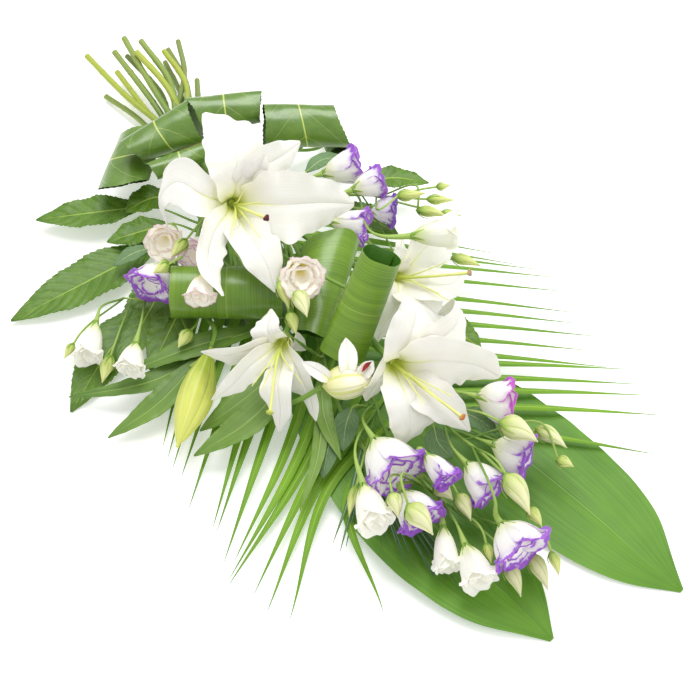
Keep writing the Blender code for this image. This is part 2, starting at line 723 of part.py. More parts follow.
# Lilies: throat, lean (right, up, toward the viewer), tepals, filament tips and pistil tip.
# A tepal is its half width, its wave, and its places: (across, down, toward the viewer from the throat)
LILIES = {
    "lily_1": (
        (234, 204, 112),
        (0.30, -0.22, 0.92),
        (
            (27, 4, (236, 160, 30), (224, 130, 24), (204, 113, 4)),
            (19, 3, (262, 168, 24), (283, 156, 16), (300, 142, -4)),
            (31, 5, (290, 205, 24), (325, 203, 20), (354, 204, 4)),
            (21, 4, (252, 240, 26), (266, 264, 34), (276, 292, 34)),
            (16, 3, (214, 235, 30), (209, 262, 44), (223, 296, 54)),
            (21, 3, (204, 196, 24), (176, 182, 12), (160, 200, -8), (167, 226, -22)),
        ),
        ((262, 202, 34), (243, 192, 38), (230, 236, 34), (260, 238, 34), (236, 226, 40)),
        (266, 218, 36),
    ),
    "lily_2": (
        (281, 345, 82),
        (-0.20, -0.55, 0.81),
        (
            (13, 2, (268, 334, 10), (271, 309, -2)),
            (10, 2, (250, 350, 14), (225, 356, 12), (201, 352, 2)),
            (11, 2, (247, 370, 18), (230, 388, 14), (212, 400, 4)),
            (12, 2, (277, 388, 20), (280, 412, 14), (279, 432, 2)),
            (11, 2, (296, 370, 14), (308, 395, 14), (316, 421, 6)),
            (10, 1, (294, 342, -8), (306, 350, -20)),
        ),
        ((302, 384, 24), (252, 386, 26), (261, 391, 30)),
        (270, 412, 34),
    ),
    "lily_3": (
        (397, 366, 95),
        (0.35, -0.35, 0.87),
        (
            (24, 3, (412, 335, 22), (417, 312, 14), (404, 297, -2)),
            (17, 3, (430, 345, 10), (456, 326, 2), (460, 308, -12), (438, 314, -26)),
            (27, 4, (440, 362, 24), (475, 366, 20), (500, 377, 4)),
            (17, 3, (430, 395, 20), (452, 412, 16), (470, 431, 2)),
            (24, 4, (408, 400, 20), (411, 430, 12), (400, 446, -6)),
            (16, 2, (384, 374, 8), (366, 401, -6)),
        ),
        ((440, 402, 36), (452, 396, 38), (425, 405, 36), (430, 390, 40)),
        (462, 417, 38),
    ),
    "lily_4": (
        (400, 277, 78),
        (0.60, -0.10, 0.79),
        (
            (10, 1, (401, 258, 8), (402, 237, -4)),
            (22, 3, (424, 250, -6), (446, 234, -22), (458, 210, -36)),
            (16, 2, (430, 285, 14), (452, 284, 10), (463, 272, -4)),
            (21, 3, (424, 302, 14), (438, 316, 8), (446, 327, -4)),
            (18, 3, (396, 306, 8), (384, 325, 2), (375, 344, -8)),
            (12, 1, (388, 288, 6), (376, 300, -6)),
        ),
        ((447, 262, 30), (440, 294, 30), (452, 302, 28)),
        (469, 273, 32),
    ),
}

# Lisianthus blooms: base, mouth, width, outer petals, flare of the mouth
BLOOMS = {
    "bloom_front_1": ((374, 439, 65), (400, 478, 63), 54, 3, 1.0),
    "bloom_front_2": ((363, 484, 70), (376, 526, 68), 31, 3, 1.0),
    "bloom_front_3": ((425, 454, 72), (450, 482, 70), 26, 3, 0.9),
    "bloom_front_4": ((466, 463, 54), (494, 494, 50), 36, 3, 1.05),
    "bloom_front_5": ((492, 444, 52), (530, 459, 48), 40, 3, 1.05),
    "bloom_front_6": ((402, 491, 54), (424, 522, 51), 40, 3, 1.0),
    "bloom_front_7": ((443, 526, 38), (447, 570, 35), 25, 3, 0.9),
    "bloom_front_8": ((465, 544, 40), (481, 584, 37), 30, 3, 1.0),
    "bloom_front_9": ((501, 523, 62), (525, 555, 58), 48, 3, 1.05),
    "bloom_front_10": ((476, 396, 64), (510, 404, 58), 42, 3, 1.0),
    "bloom_right_1": ((322, 174, 63), (360, 164, 70), 35, 3, 1.1),
    "bloom_right_2": ((352, 190, 75), (382, 180, 79), 30, 3, 1.0),
    "bloom_right_3": ((330, 221, 76), (368, 228, 74), 32, 3, 1.1),
    "bloom_right_4": ((370, 209, 57), (396, 211, 57), 30, 3, 1.0),
    "bloom_right_5": ((410, 236, 114), (456, 233, 113), 27, 3, 1.0),
    "bloom_left_1": ((170, 229, 50), (163, 245, 70), 30, 3, 1.1),
    "bloom_left_2": ((162, 265, 61), (149, 289, 57), 42, 3, 1.1),
    "bloom_left_3": ((203, 240, 57), (192, 258, 69), 30, 3, 1.0),
    "bloom_left_4": ((203, 274, 97), (199, 300, 91), 26, 3, 1.05),
    "bloom_left_5": ((96, 322, 32), (86, 359, 28), 27, 3, 1.0),
    "bloom_left_6": ((136, 343, 47), (129, 371, 43), 27, 3, 1.0),
    "bloom_centre": ((299, 266, 98), (303, 279, 123), 36, 3, 1.0),
}

# Leafy sprays: foot and places of the stem, its radius, buds (share of the stem, base, tip, width),
# the blooms that it carries (share of the stem, name), and leaves (half width, places)
SPRAYS = {
    "spray_front_left": (
        ((372, 395, 34), (385, 430, 30), (412, 470, 26), (452, 508, 25)),
        2.0,
        (
            (0.1, (357, 484, 40), (349, 517, 36), 10),
            (0.8, (392, 492, 83), (398, 518, 79), 15),
            (0.9, (407, 504, 83), (433, 535, 77), 22),
            (0.35, (434, 484, 47), (453, 500, 45), 16),
            (0.6, (457, 493, 44), (471, 521, 40), 15),
            (1.0, (506, 561, 27), (521, 597, 21), 15),
            (1.0, (530, 553, 28), (548, 590, 24), 16),
            (0.95, (486, 543, 40), (491, 564, 36), 9),
        ),
        ((0.05, "bloom_front_1"), (0.1, "bloom_front_2"), (0.35, "bloom_front_3"), (0.45, "bloom_front_6"),
         (0.7, "bloom_front_7"), (0.85, "bloom_front_8")),
        ((0.1, 12, (352, 408, 42), (346, 425, 42), (343, 451, 36)),
         (0.05, 11, (336, 424, 38), (329, 445, 34), (323, 478, 26))),
    ),
    "spray_front_right": (
        ((430, 402, 40), (452, 430, 48), (484, 455, 62), (503, 473, 70)),
        2.0,
        (
            (0.1, (499, 421, 86), (538, 442, 80), 23),
            (0.2, (535, 427, 50), (567, 448, 46), 16),
            (0.5, (556, 459, 44), (574, 467, 42), 12),
            (0.6, (505, 473, 79), (530, 515, 73), 21),
            (0.9, (528, 507, 58), (542, 527, 54), 12),
            (1.0, (551, 551, 42), (559, 576, 36), 10),
        ),
        ((0.2, "bloom_front_4"), (0.35, "bloom_front_5"), (0.6, "bloom_front_9"), (0.1, "bloom_front_10")),
        ((0.2, 12, (462, 412, 44), (478, 419, 40), (496, 433, 38)),
         (0.1, 13, (434, 428, 46), (438, 442, 44), (452, 458, 40))),
    ),
    "spray_right": (
        ((300, 195, 44), (335, 195, 48), (365, 195, 54), (395, 197, 58)),
        2.0,
        (
            (0.8, (396, 196, 76), (426, 193, 76), 12),
            (0.95, (436, 187, 58), (451, 185, 58), 8),
            (1.0, (426, 199, 56), (455, 200, 54), 10),
            (0.85, (416, 210, 60), (447, 216, 58), 12),
            (0.75, (441, 212, 52), (462, 216, 50), 8),
            (0.65, (451, 257, 46), (481, 266, 44), 12),
        ),
        ((0.1, "bloom_right_1"), (0.3, "bloom_right_2"), (0.1, "bloom_right_3"), (0.5, "bloom_right_4"),
         (0.6, "bloom_right_5")),
        ((0.1, 9, (306, 172, 56), (322, 160, 60), (346, 158, 56)),),
    ),
    "spray_left": (
        ((222, 262, 38), (205, 250, 38), (190, 252, 38), (172, 262, 36)),
        1.8,
        (
            (0.5, (187, 239, 89), (171, 257, 87), 13),
            (1.0, (169, 264, 89), (153, 273, 89), 12),
        ),
        ((0.7, "bloom_left_1"), (0.85, "bloom_left_2"), (0.3, "bloom_left_3"), (0.1, "bloom_left_4")),
        ((1.0, 9, (150, 248, 34), (132, 254, 33), (114, 266, 30)),),
    ),
    "spray_left_low": (
        ((208, 290, 30), (170, 298, 30), (143, 300, 30), (124, 298, 30)),
        1.6,
        (
            (1.0, (74, 343, 18), (64, 359, 14), 9),
            (0.9, (111, 355, 22), (102, 383, 16), 14),
            (0.15, (191, 330, 47), (178, 348, 45), 14),
            (0.4, (182, 371, 22), (171, 387, 18), 9),
        ),
        ((1.0, "bloom_left_5"), (0.75, "bloom_left_6")),
        (),
    ),
    "spray_centre": (
        ((286, 250, 44), (289, 272, 56), (291, 292, 74), (292, 300, 84)),
        1.8,
        (
            (0.8, (279, 281, 100), (289, 309, 100), 13),
            (1.0, (296, 291, 117), (307, 317, 115), 17),
            (1.0, (289, 312, 93), (296, 335, 89), 12),
        ),
        ((0.45, "bloom_centre"),),
        (),
    ),
}

# Leafy lily stems: places, radius, leaves (half width, places)
LILY_STEMS = {
    "lily_leaves_left": (
        ((262, 328, 26), (225, 342, 32), (190, 367, 33)),
        2.6,
        (
            (0.1, 13, (246, 328, 37), (200, 345, 37), (123, 374, 26)),
            (0.5, 11, (214, 348, 31), (150, 382, 25), (69, 397, 13)),
            (0.9, 13, (196, 360, 34), (160, 402, 24), (108, 438, 8)),
        ),
    ),
    "lily_leaves_front": (
        ((285, 345, 34), (282, 365, 38), (284, 385, 38)),
        2.4,
        (
            (0.6, 16, (276, 376, 38), (235, 406, 30), (200, 431, 20)),
            (1.0, 16, (280, 390, 40), (248, 422, 34), (194, 456, 22)),
        ),
    ),
    "lily_leaves_centre": (
        ((324, 346, 40), (320, 365, 42), (323, 385, 42)),
        2.2,
        (
            (0.3, 9, (314, 360, 62), (301, 345, 90), (284, 330, 104)),
            (0.8, 9, (322, 386, 44), (324, 415, 43), (341, 460, 36)),
            (1.0, 7, (320, 392, 46), (317, 460, 34), (300, 511, 22)),
        ),
    ),
}


def fatsia_rolls():
    for k, ends in enumerate(FATSIA_ROLLS, 1):
        loop(f"fatsia_roll_{k}", ends, dark_green, along=11)


def folded_loops():
    for k, ends in enumerate(LOOPS, 1):
        loop(f"aspidistra_loop_{k}", ends, mid_green, along=12)


def long_leaves():
    for k, (half_width, *places) in enumerate(LONG_LEAVES, 1):
        leaf(f"aspidistra_leaf_{k}", places, half_width, LONG_LEAF, mid_green, along=12, across=4)


PALM_RACHIS = ((221, 206, 22), (290, 290, 20), (360, 370, 18), (428, 425, 18))
PALM_RIB = 2.4
PALM_LEAFLET = 4.6
PALM_LEVEL = 17
PALM_STALK = 2.6

# Leaflets from the stalk to the tip of the frond: the tip, and the knee where the leaflet isn't straight
PALM_RIGHT = (
    ((492, 253, 4),), ((514, 264, 4),), ((534, 269, 4),), ((552, 277, 4),),
    ((560, 291, 4),), ((570, 312, 4),), ((574, 323, 4),), ((594, 336, 4),),
    ((585, 350, 5),), ((606, 367, 4),), ((625, 369, 5),), ((636, 384, 4),),
    ((645, 395, 5),), ((660, 415, 4),), ((654, 454, 6),),
)
PALM_LEFT = (
    ((163, 446, 3),), ((168, 457, 3),), ((173, 467, 3),), ((182, 475, 3),),
    ((189, 508, 3),), ((213, 527, 3),), ((217, 531, 3),), ((224, 562, 3),),
    ((235, 560, 3), (284, 455, 15)), ((230, 578, 3), (295, 462, 18)), ((229, 585, 3), (303, 468, 15)),
    ((254, 594, 3), (312, 474, 18)), ((267, 612, 3), (322, 478, 15.5)), ((290, 619, 4), (333, 480, 17)),
    ((383, 611, 20), (350, 490, 17)),
)


def palm_frond():
    """The palm frond: one thin arched blade, cut into pairs of narrow leaflets as far as its rib."""
    rib = spots(*PALM_RACHIS)
    work = bmesh.new()
    rails = []
    for point, side, _ in rows_along(rib, UP, 2 * len(PALM_LEFT) - 1):
        rails.append([work.verts.new(point + side * (PALM_RIB * MM * way)) for way in (-1, 1)])
    for here, there in zip(rails, rails[1:]):
        work.faces.new((here[0], here[1], there[1], there[0]))
    for way, leaflets in enumerate((PALM_RIGHT, PALM_LEFT)):
        for k, (tip_place, *knee) in enumerate(leaflets):
            near, far = rails[2 * k][way], rails[2 * k + 1][way]
            root = (near.co + far.co) / 2
            tip = above_table(*tip_place)
            middle = above_table(*knee[0]) if knee else root.lerp(tip, 0.5)
            if not knee:
                middle.z = PALM_LEVEL * MM
            half = (tip - middle).cross(UP).normalized() * (PALM_LEAFLET * MM)
            half *= math.copysign(1, half.dot(near.co - far.co))
            sides = [work.verts.new(middle + half), work.verts.new(middle - half)]
            work.faces.new((near, far, sides[1], sides[0]))
            work.faces.new((sides[0], sides[1], work.verts.new(tip)))
    bmesh.ops.recalc_face_normals(work, faces=work.faces)
    seat("palm_frond", rib[0], rib[1] - rib[0], PALM_STALK)
    return finish(skinned("palm_frond", work, LEAF_THICK), rib[0], palm_green)


GRASS_TIPS = ((382, 549, 20), (410, 572, 21), (437, 564, 20), (440, 586, 18), (462, 591, 18), (340, 552, 16))
GRASS_LEVEL = 20.5
GRASS_ROOT = (358, 440, 24)
GRASS_GATHER = (366, 452, 23)
GRASS_BLADE = 2.6
GRASS_STALK = 2.0


def lily_grass():
    """The tuft of narrow striped leaves under the front blooms."""
    root, gather = above_table(*GRASS_ROOT), above_table(*GRASS_GATHER)
    pieces = [tube("lily_grass", [root, gather], GRASS_STALK + 0.2, sides=6)]
    for tip_place in GRASS_TIPS:
        tip = above_table(*tip_place)
        middle = gather.lerp(tip, 0.5)
        middle.z = GRASS_LEVEL * MM
        spine = [root.lerp(gather, 0.5), middle, tip]
        pieces.append(sheet("blade", blade(spine, UP, GRASS_BLADE, LEAFLET, along=2, across=1)))
    seat("lily_grass", root, gather - root, GRASS_STALK)
    return finish(fuse("lily_grass", pieces), root, palm_green)


HALF_OPEN_PLACES = ((322, 387, 85), (374, 379, 94))
HALF_OPEN_RADIUS = 16
HALF_OPEN_TEPALS = (
    (9, (346, 385, 96), (348, 362, 106), (346, 338, 103)),
    (7, (336, 384, 92), (319, 372, 102), (302, 362, 100)),
    (7, (356, 381, 96), (366, 370, 105), (373, 361, 103)),
)
LILY_BUD_PLACES = ((211, 347, 50), (177, 447, 42))
LILY_BUD_RADIUS = 17
BUD_STALK = 2.4


def half_open_lily():
    """A lily that is opening: the body of a bud, with three of its tepals turned out."""
    base, tip = spots(*HALF_OPEN_PLACES)
    pieces = [turned("half_open_lily", base, tip, HALF_OPEN_RADIUS, HALF_OPEN, around=6, rings=6)]
    for half_width, *places in HALF_OPEN_TEPALS:
        shape = blade(spots(*places), TO_VIEWER, half_width, TEPAL, along=4, across=2, cup=(0.5, 0.2))
        pieces.append(sheet("tepal", shape, PETAL_THICK))
    seat("half_open_lily", base, (tip - base).normalized() + TO_VIEWER * 0.55 + PICTURE_UP * 0.4, BUD_STALK)
    return finish(fuse("half_open_lily", pieces), base, petal_white)


def lily_bud():
    """The closed lily bud, with three ribs."""
    base, tip = spots(*LILY_BUD_PLACES)
    seat("lily_bud", base, (tip - base).normalized() + TO_VIEWER * 0.3, BUD_STALK)
    bud = turned("lily_bud", base, tip, LILY_BUD_RADIUS, LILY_BUD, around=9, rings=8, ribs=3)
    return finish(bud, base, bud_green)


# Stalks
def tree_of_pieces():
    """Every piece made so far, as one searchable surface."""
    graph = bpy.context.evaluated_depsgraph_get()
    points, faces = [], []
    for obj in sheaf.objects:
        mesh = obj.evaluated_get(graph).to_mesh()
        first = len(points)
        points += [obj.matrix_world @ vert.co for vert in mesh.vertices]
        faces += [[first + index for index in face.vertices] for face in mesh.polygons]
    return BVHTree.FromPolygons(points, faces)


def blocked(tree, path, radius):
    """How many places along a stalk's path lie too near to another piece, but for the last ones at its seat."""
    count = 0
    reach = (radius + STALK_CLEARANCE) * MM
    for a, b in zip(path, path[1:]):
        steps = max(1, round((b - a).length / (STALK_STRIDE * MM)))
        for step in range(steps + 1):
            point = a.lerp(b, step / steps)
            if (point - path[-1]).length > SEAT_ZONE * MM and tree.find_nearest(point, reach)[0] is not None:
                count += 1
    return count


def stalk(tree, name, foot, ahead, radius):
    """A stalk from the bundle to a foot."""
    end = foot - ahead * SEAT_GAP
    start = TIE + X_AXIS * (STALK_START * MM)

    def knots_for(lead, share, height, shift):
        before = end - ahead * (lead * MM)
        way = start.lerp(before, share) + Y_AXIS * (shift * MM)
        way.z = height * MM
        return [start, way, before, end]

    for steps in STALK_STEPS:
        tries = itertools.product(LEADS, SHARES, DECK_HEIGHTS, SIDE_SHIFTS)
        faults, path = way_through(tree, knots_for, tries, radius, steps)
        if not faults:
            break
    return tube("stalk", path, radius, sides=4)


def stem_bunch():
    """The cut stems, the core of the bundle, and a stalk to the foot of each piece, joined as one."""
    bpy.context.view_layer.update()
    tree = tree_of_pieces()
    pieces = cut_stems()
    pieces += [stalk(tree, *foot) for foot in seats]
    return finish(fuse("stem_bunch", pieces), TIE, stem_green)


# The sheaf
for old in list(bpy.data.objects):
    bpy.data.objects.remove(old)
sheaf = bpy.data.collections.new("memorial_sheaf")
bpy.context.scene.collection.children.link(sheaf)

petal_white = material("petal_white", (0.86, 0.85, 0.80), 0.55)
filament_green = material("filament_green", (0.66, 0.72, 0.30), 0.5)
bud_green = material("bud_green", (0.62, 0.70, 0.22), 0.5)
spray_green = material("spray_green", (0.42, 0.56, 0.24), 0.55)
stem_green = material("stem_green", (0.28, 0.42, 0.10), 0.5)
leaf_green = material("leaf_green", (0.07, 0.20, 0.04), 0.4)
dark_green = material("dark_green", (0.04, 0.12, 0.03), 0.3)
mid_green = material("mid_green", (0.09, 0.28, 0.05), 0.4)
palm_green = material("palm_green", (0.12, 0.34, 0.06), 0.45)
twine = material("twine", (0.45, 0.36, 0.20), 0.9)

for lily_name, lily_parts in LILIES.items():
    lily(lily_name, *lily_parts)
half_open_lily()
lily_bud()
for stem_name, stem_parts in LILY_STEMS.items():
    leafy_stem(stem_name, *stem_parts, leaf_green, LILY_LEAF, stalked=False, along=5, across=2, fold=0.18)
for stem_name, stem_parts in SAW_LEAF_STEMS.items():
    leafy_stem(stem_name, *stem_parts, leaf_green, TOOTHED_LEAF, along=6, across=2, fold=0.15, teeth=3)
fatsia_rolls()
folded_loops()
long_leaves()
palm_frond()
lily_grass()
binding_band()
bpy.context.view_layer.update()
for bloom_name, bloom_parts in BLOOMS.items():
    bloom(bloom_name, *bloom_parts)
bpy.context.view_layer.update()
for spray_name, spray_parts in SPRAYS.items():
    spray(spray_name, *spray_parts)
    bpy.context.view_layer.update()
stem_bunch()
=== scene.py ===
# %% [markdown]
# A tied memorial sheaf lies on a pale floor: white lilies, lisianthus with violet rims, rolled and flat
# leaves, a palm frond and cut stems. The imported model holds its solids, in metres, and is loaded here as a
# fixed frame. One could dress those solids with finishes alone, but petals and leaves need many more
# points to curl and ruffle, so each node gets a finer piece on the same lines.

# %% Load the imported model
import itertools
import math

import bpy
import numpy as np
from mathutils import Matrix, Vector
from mathutils.bvhtree import BVHTree


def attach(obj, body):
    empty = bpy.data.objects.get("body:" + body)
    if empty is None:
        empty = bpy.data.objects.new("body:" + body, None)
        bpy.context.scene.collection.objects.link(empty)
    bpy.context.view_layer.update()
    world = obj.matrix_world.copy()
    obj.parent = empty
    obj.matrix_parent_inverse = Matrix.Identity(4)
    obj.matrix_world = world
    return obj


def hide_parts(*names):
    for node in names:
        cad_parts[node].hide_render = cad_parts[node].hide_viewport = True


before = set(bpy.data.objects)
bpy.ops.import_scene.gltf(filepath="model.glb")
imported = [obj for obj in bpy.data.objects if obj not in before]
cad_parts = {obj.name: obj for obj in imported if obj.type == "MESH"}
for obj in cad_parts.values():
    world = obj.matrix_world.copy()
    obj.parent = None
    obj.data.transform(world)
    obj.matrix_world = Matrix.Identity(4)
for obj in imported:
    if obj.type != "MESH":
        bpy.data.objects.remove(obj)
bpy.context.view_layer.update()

# %% [markdown]
# The sheaf is laid out as a florist sees it, from the side where the lilies face. A place is an (across,
# down) on a layout picture 700 units square, and a height above the table in millimetres. One could
# measure every leaf in plan instead, but a leaf is far easier to judge where it is seen. The viewer's
# line of sight through a place meets the given height at one point, and that is the point in space.

# %% The viewer and the places
MM = 0.001
VIEW_TURN = math.radians(52)
VIEW_RISE = math.radians(55)
VIEW_DISTANCE = 1.653
VIEW_AIM = Vector((0.0442, 0.0210, 0.0))
PICTURE_SIDE = 700
UNITS_PER_METRE = 1000
TO_VIEWER = Vector((
    math.sin(VIEW_TURN) * math.cos(VIEW_RISE),
    -math.cos(VIEW_TURN) * math.cos(VIEW_RISE),
    math.sin(VIEW_RISE),
))
PICTURE_RIGHT = Vector((math.cos(VIEW_TURN), math.sin(VIEW_TURN), 0))
PICTURE_UP = TO_VIEWER.cross(PICTURE_RIGHT)
EYE = VIEW_AIM + TO_VIEWER * VIEW_DISTANCE
UP = Vector((0, 0, 1))
X_AXIS = Vector((1, 0, 0))
Y_AXIS = Vector((0, 1, 0))


def sight_line(across, down):
    """The direction in which the viewer sees a place on the layout picture."""
    side = across - PICTURE_SIDE / 2
    rise = PICTURE_SIDE / 2 - down
    return PICTURE_RIGHT * side + PICTURE_UP * rise - TO_VIEWER * (VIEW_DISTANCE * UNITS_PER_METRE)


def above_table(across, down, height):
    """The point seen at (across, down) that is height millimetres above the table."""
    line = sight_line(across, down)
    return EYE + line * ((height * MM - EYE.z) / line.z)


def nearer_than(anchor, across, down, toward):
    """The point seen at (across, down) that is toward millimetres nearer to the viewer than the anchor."""
    line = sight_line(across, down)
    depth = (EYE - anchor).dot(TO_VIEWER) - toward * MM
    return EYE + line * (depth / -line.dot(TO_VIEWER))


def spots(*places):
    """The points of several places, each (across, down, height)."""
    return [above_table(*place) for place in places]


def leaning(right, up, toward):
    """The direction that leans so far to the right, up and towards the viewer on the layout picture."""
    return (PICTURE_RIGHT * right + PICTURE_UP * up + TO_VIEWER * toward).normalized()


def square_to(axis, direction):
    """The part of a direction that is square to an axis, made one long."""
    return (direction - axis * direction.dot(axis)).normalized()


print("viewer at", [round(x, 3) for x in EYE])

# %% [markdown]
# The camera stands at the viewer's place. Its three axes are the picture's right, its up and the way back
# to the viewer, so they go straight into its matrix. An 85 mm lens on a 36 mm sensor sees the 700 units of
# the layout from this far away, which keeps the picture's frame.

# %% Camera
LENS = 85
SENSOR = 36
NEAREST = 0.05


def placed(name, data):
    """A new object with this data, linked to the scene."""
    made = bpy.data.objects.new(name, data)
    bpy.context.scene.collection.objects.link(made)
    return made


camera_data = bpy.data.cameras.new("viewer")
camera_data.lens = LENS
camera_data.sensor_width = SENSOR
camera_data.clip_start = NEAREST
camera = placed("viewer", camera_data)
stand = Matrix((PICTURE_RIGHT, PICTURE_UP, TO_VIEWER)).transposed().to_4x4()
stand.translation = EYE
camera.matrix_world = stand
bpy.context.scene.camera = camera
print("camera:", LENS, "mm lens,", round(EYE.z, 2), "m above the floor")

# %% [markdown]
# Florists photograph such work on a white sweep under soft boxes. Here the sweep is a plain pale floor,
# the sky around gives the fill, and two wide area lights give soft shadows: a key from overhead, where its
# gleam lies along the rolled leaves, and a weak one from the right. A sun lamp would be simpler, but its
# shadows would be too crisp for a studio.

# %% Floor and studio light
FLOOR_SIDE = 7.0
FLOOR_WHITE = 0.95
FLOOR_GLOW = 0.3
FLOOR_ROUGHNESS = 0.9
SKY = 0.68
# Where each soft box hangs, its side in metres and its watts
SOFT_BOXES = {"key": ((-0.55, 0.36, 1.7), 1.2, 24), "side": ((1.5, 0.5, 1.2), 0.9, 7)}

paper = bpy.data.materials.new("white_floor")
paper.use_nodes = True
sheen = paper.node_tree.nodes["Principled BSDF"].inputs
sheen["Base Color"].default_value = (FLOOR_WHITE, FLOOR_WHITE, FLOOR_WHITE, 1)
sheen["Roughness"].default_value = FLOOR_ROUGHNESS
sheen["Emission Color"].default_value = (1, 1, 1, 1)
sheen["Emission Strength"].default_value = FLOOR_GLOW
floor_mesh = bpy.data.meshes.new("floor")
half = FLOOR_SIDE / 2
floor_corners = [(-half, -half, 0), (half, -half, 0), (half, half, 0), (-half, half, 0)]
floor_mesh.from_pydata(floor_corners, [], [(0, 1, 2, 3)])
floor_mesh.materials.append(paper)
floor = placed("floor", floor_mesh)

sky = bpy.data.worlds.new("studio")
sky.use_nodes = True
sky.node_tree.nodes["Background"].inputs["Color"].default_value = (1, 1, 1, 1)
sky.node_tree.nodes["Background"].inputs["Strength"].default_value = SKY
bpy.context.scene.world = sky

for name, (place, side, watts) in SOFT_BOXES.items():
    light = bpy.data.lights.new(name, "AREA")
    light.size = side
    light.energy = watts
    lamp = placed(name, light)
    lamp.location = place
    lamp.rotation_euler = (-Vector(place)).to_track_quat("-Z", "Y").to_euler()
bpy.context.scene.view_settings.view_transform = "Standard"
print("floor", FLOOR_SIDE, "m wide,", len(SOFT_BOXES), "soft boxes")

# %% [markdown]
# A finish is a small net of shader nodes. Linking nodes by hand hides the idea, so one class wraps a
# socket as a value: sums and products of values add Math nodes, and one method adds any other node. A
# fixed number or colour goes straight into the shader's own socket.

# %% Shader maths as expressions
class Value:
    """One socket of a material's nodes, as a value to reckon with."""

    def __init__(self, tree, socket=None):
        self.tree = tree
        self.socket = socket

    def node(self, kind, settings=None, inputs=None, output=0):
        """Adds a node: its settings are set first, then its sockets take numbers, colours or other values."""
        made = self.tree.nodes.new(kind)
        for name, setting in (settings or {}).items():
            setattr(made, name, setting)
        for name, given in (inputs or {}).items():
            if isinstance(given, Value):
                self.tree.links.new(given.socket, made.inputs[name])
            else:
                made.inputs[name].default_value = given
        return Value(self.tree, made.outputs[output] if made.outputs else None)

    def math(self, operation, first, second=0.0):
        return self.node("ShaderNodeMath", {"operation": operation}, {0: first, 1: second})

    def __add__(self, other):
        return self.math("ADD", self, other)

    def __sub__(self, other):
        return self.math("SUBTRACT", self, other)

    def __rsub__(self, other):
        return self.math("SUBTRACT", other, self)

    def __mul__(self, other):
        return self.math("MULTIPLY", self, other)


def rising(value, low, high):
    """0 below low, 1 above high, and a smooth rise between them. It falls instead if low is above high."""
    limits = {"Value": value, "From Min": low, "From Max": high}
    return value.node("ShaderNodeMapRange", {"interpolation_type": "SMOOTHSTEP"}, limits)


def wave_of(value, turns):
    """A swing from 0 to 1, so many turns for each unit of the value."""
    return value.math("SINE", value * (math.tau * turns)) * 0.5 + 0.5


def size_of(value):
    """The value without its sign."""
    return value.math("ABSOLUTE", value)


def mixed(mask, first, second):
    """The first colour where the mask is 0, the second where it is 1."""
    return mask.node("ShaderNodeMix", {"data_type": "RGBA"}, {0: mask, 6: first, 7: second}, output=2)


def seen(red, green, blue):
    """The linear colour of a colour as a screen shows it, each part from 0 to 255."""
    parts = [part / 255 for part in (red, green, blue)]
    linear = [part / 12.92 if part <= 0.04045 else ((part + 0.055) / 1.055) ** 2.4 for part in parts]
    return (*linear, 1.0)


print("a mid green is", [round(part, 3) for part in seen(95, 150, 60)[:3]])

# %% [markdown]
# Every point of a piece carries two rows of numbers for its finish. "lay" is its share of the way from
# root to tip, its share across from -1 to 1, and a number of the part that is negative on the lower face.
# "run" is the same in millimetres: along, across, and in from the nearest edge. A UV map could carry the
# first two, but veins and coloured rims need millimetres, so that they are equally wide on every petal.

# %% What a finish can read
FINISHES = {}


class Surface:
    """What a finish can read at a point of a piece. Pieces ask for the finish by its name."""

    def __init__(self, name):
        material = bpy.data.materials.new(name)
        material.use_nodes = True
        material.node_tree.nodes.clear()
        FINISHES[name] = material
        self.paint = Value(material.node_tree)
        self.along, self.across, self.part = self.three("lay")
        self.along_mm, self.across_mm, self.edge_mm = self.three("run")
        self.place = self.paint.node("ShaderNodeTexCoord", output="Object")

    def three(self, name):
        """The three numbers of one of the piece's rows."""
        row = self.paint.node("ShaderNodeAttribute", {"attribute_name": name}, output="Vector")
        return [self.paint.node("ShaderNodeSeparateXYZ", {}, {"Vector": row}, output=axis) for axis in "XYZ"]

    def cloud(self, scale, detail=2.0, vector=None):
        """Soft spots from 0 to 1, scale of them to a metre, or to a unit of the vector given."""
        sockets = {"Vector": vector or self.place, "Scale": scale, "Detail": detail}
        return self.paint.node("ShaderNodeTexNoise", {}, sockets)

    def streaks(self, across_scale, along_scale, detail=2.0):
        """Fine streaks that run along the part: so many to a millimetre across and along it."""
        across, along = self.across_mm * across_scale, self.along_mm * along_scale
        sockets = {"X": across, "Y": along, "Z": self.part * 40.0}
        return self.cloud(1.0, detail, self.paint.node("ShaderNodeCombineXYZ", {}, sockets))

    def finish(self, colour, roughness, height, depth_mm, soft=0.0, soft_mm=(2, 4, 1), **others):
        """The Principled shader: colour, roughness, a bump so deep, how far light goes in, and the rest."""
        bump = {"Height": height, "Distance": depth_mm * MM, "Strength": 1.0}
        sockets = {
            "Base Color": colour,
            "Roughness": roughness,
            "Normal": self.paint.node("ShaderNodeBump", {}, bump, output="Normal"),
            "Subsurface Weight": soft,
            "Subsurface Radius": [reach * MM for reach in soft_mm],
            "Subsurface Scale": 1.0,
        }
        sockets.update((name.replace("_", " "), given) for name, given in others.items())
        shader = self.paint.node("ShaderNodeBsdfPrincipled", {}, sockets)
        self.paint.node("ShaderNodeOutputMaterial", {}, {"Surface": shader})


def finishes_from(recipe, table):
    """One finish for each row of a table, by the same recipe."""
    for name, numbers in table.items():
        recipe(Surface(name), *numbers)
    print(recipe.__name__, "made", len(table), "finishes")


print("each point carries lay and run, three numbers each")
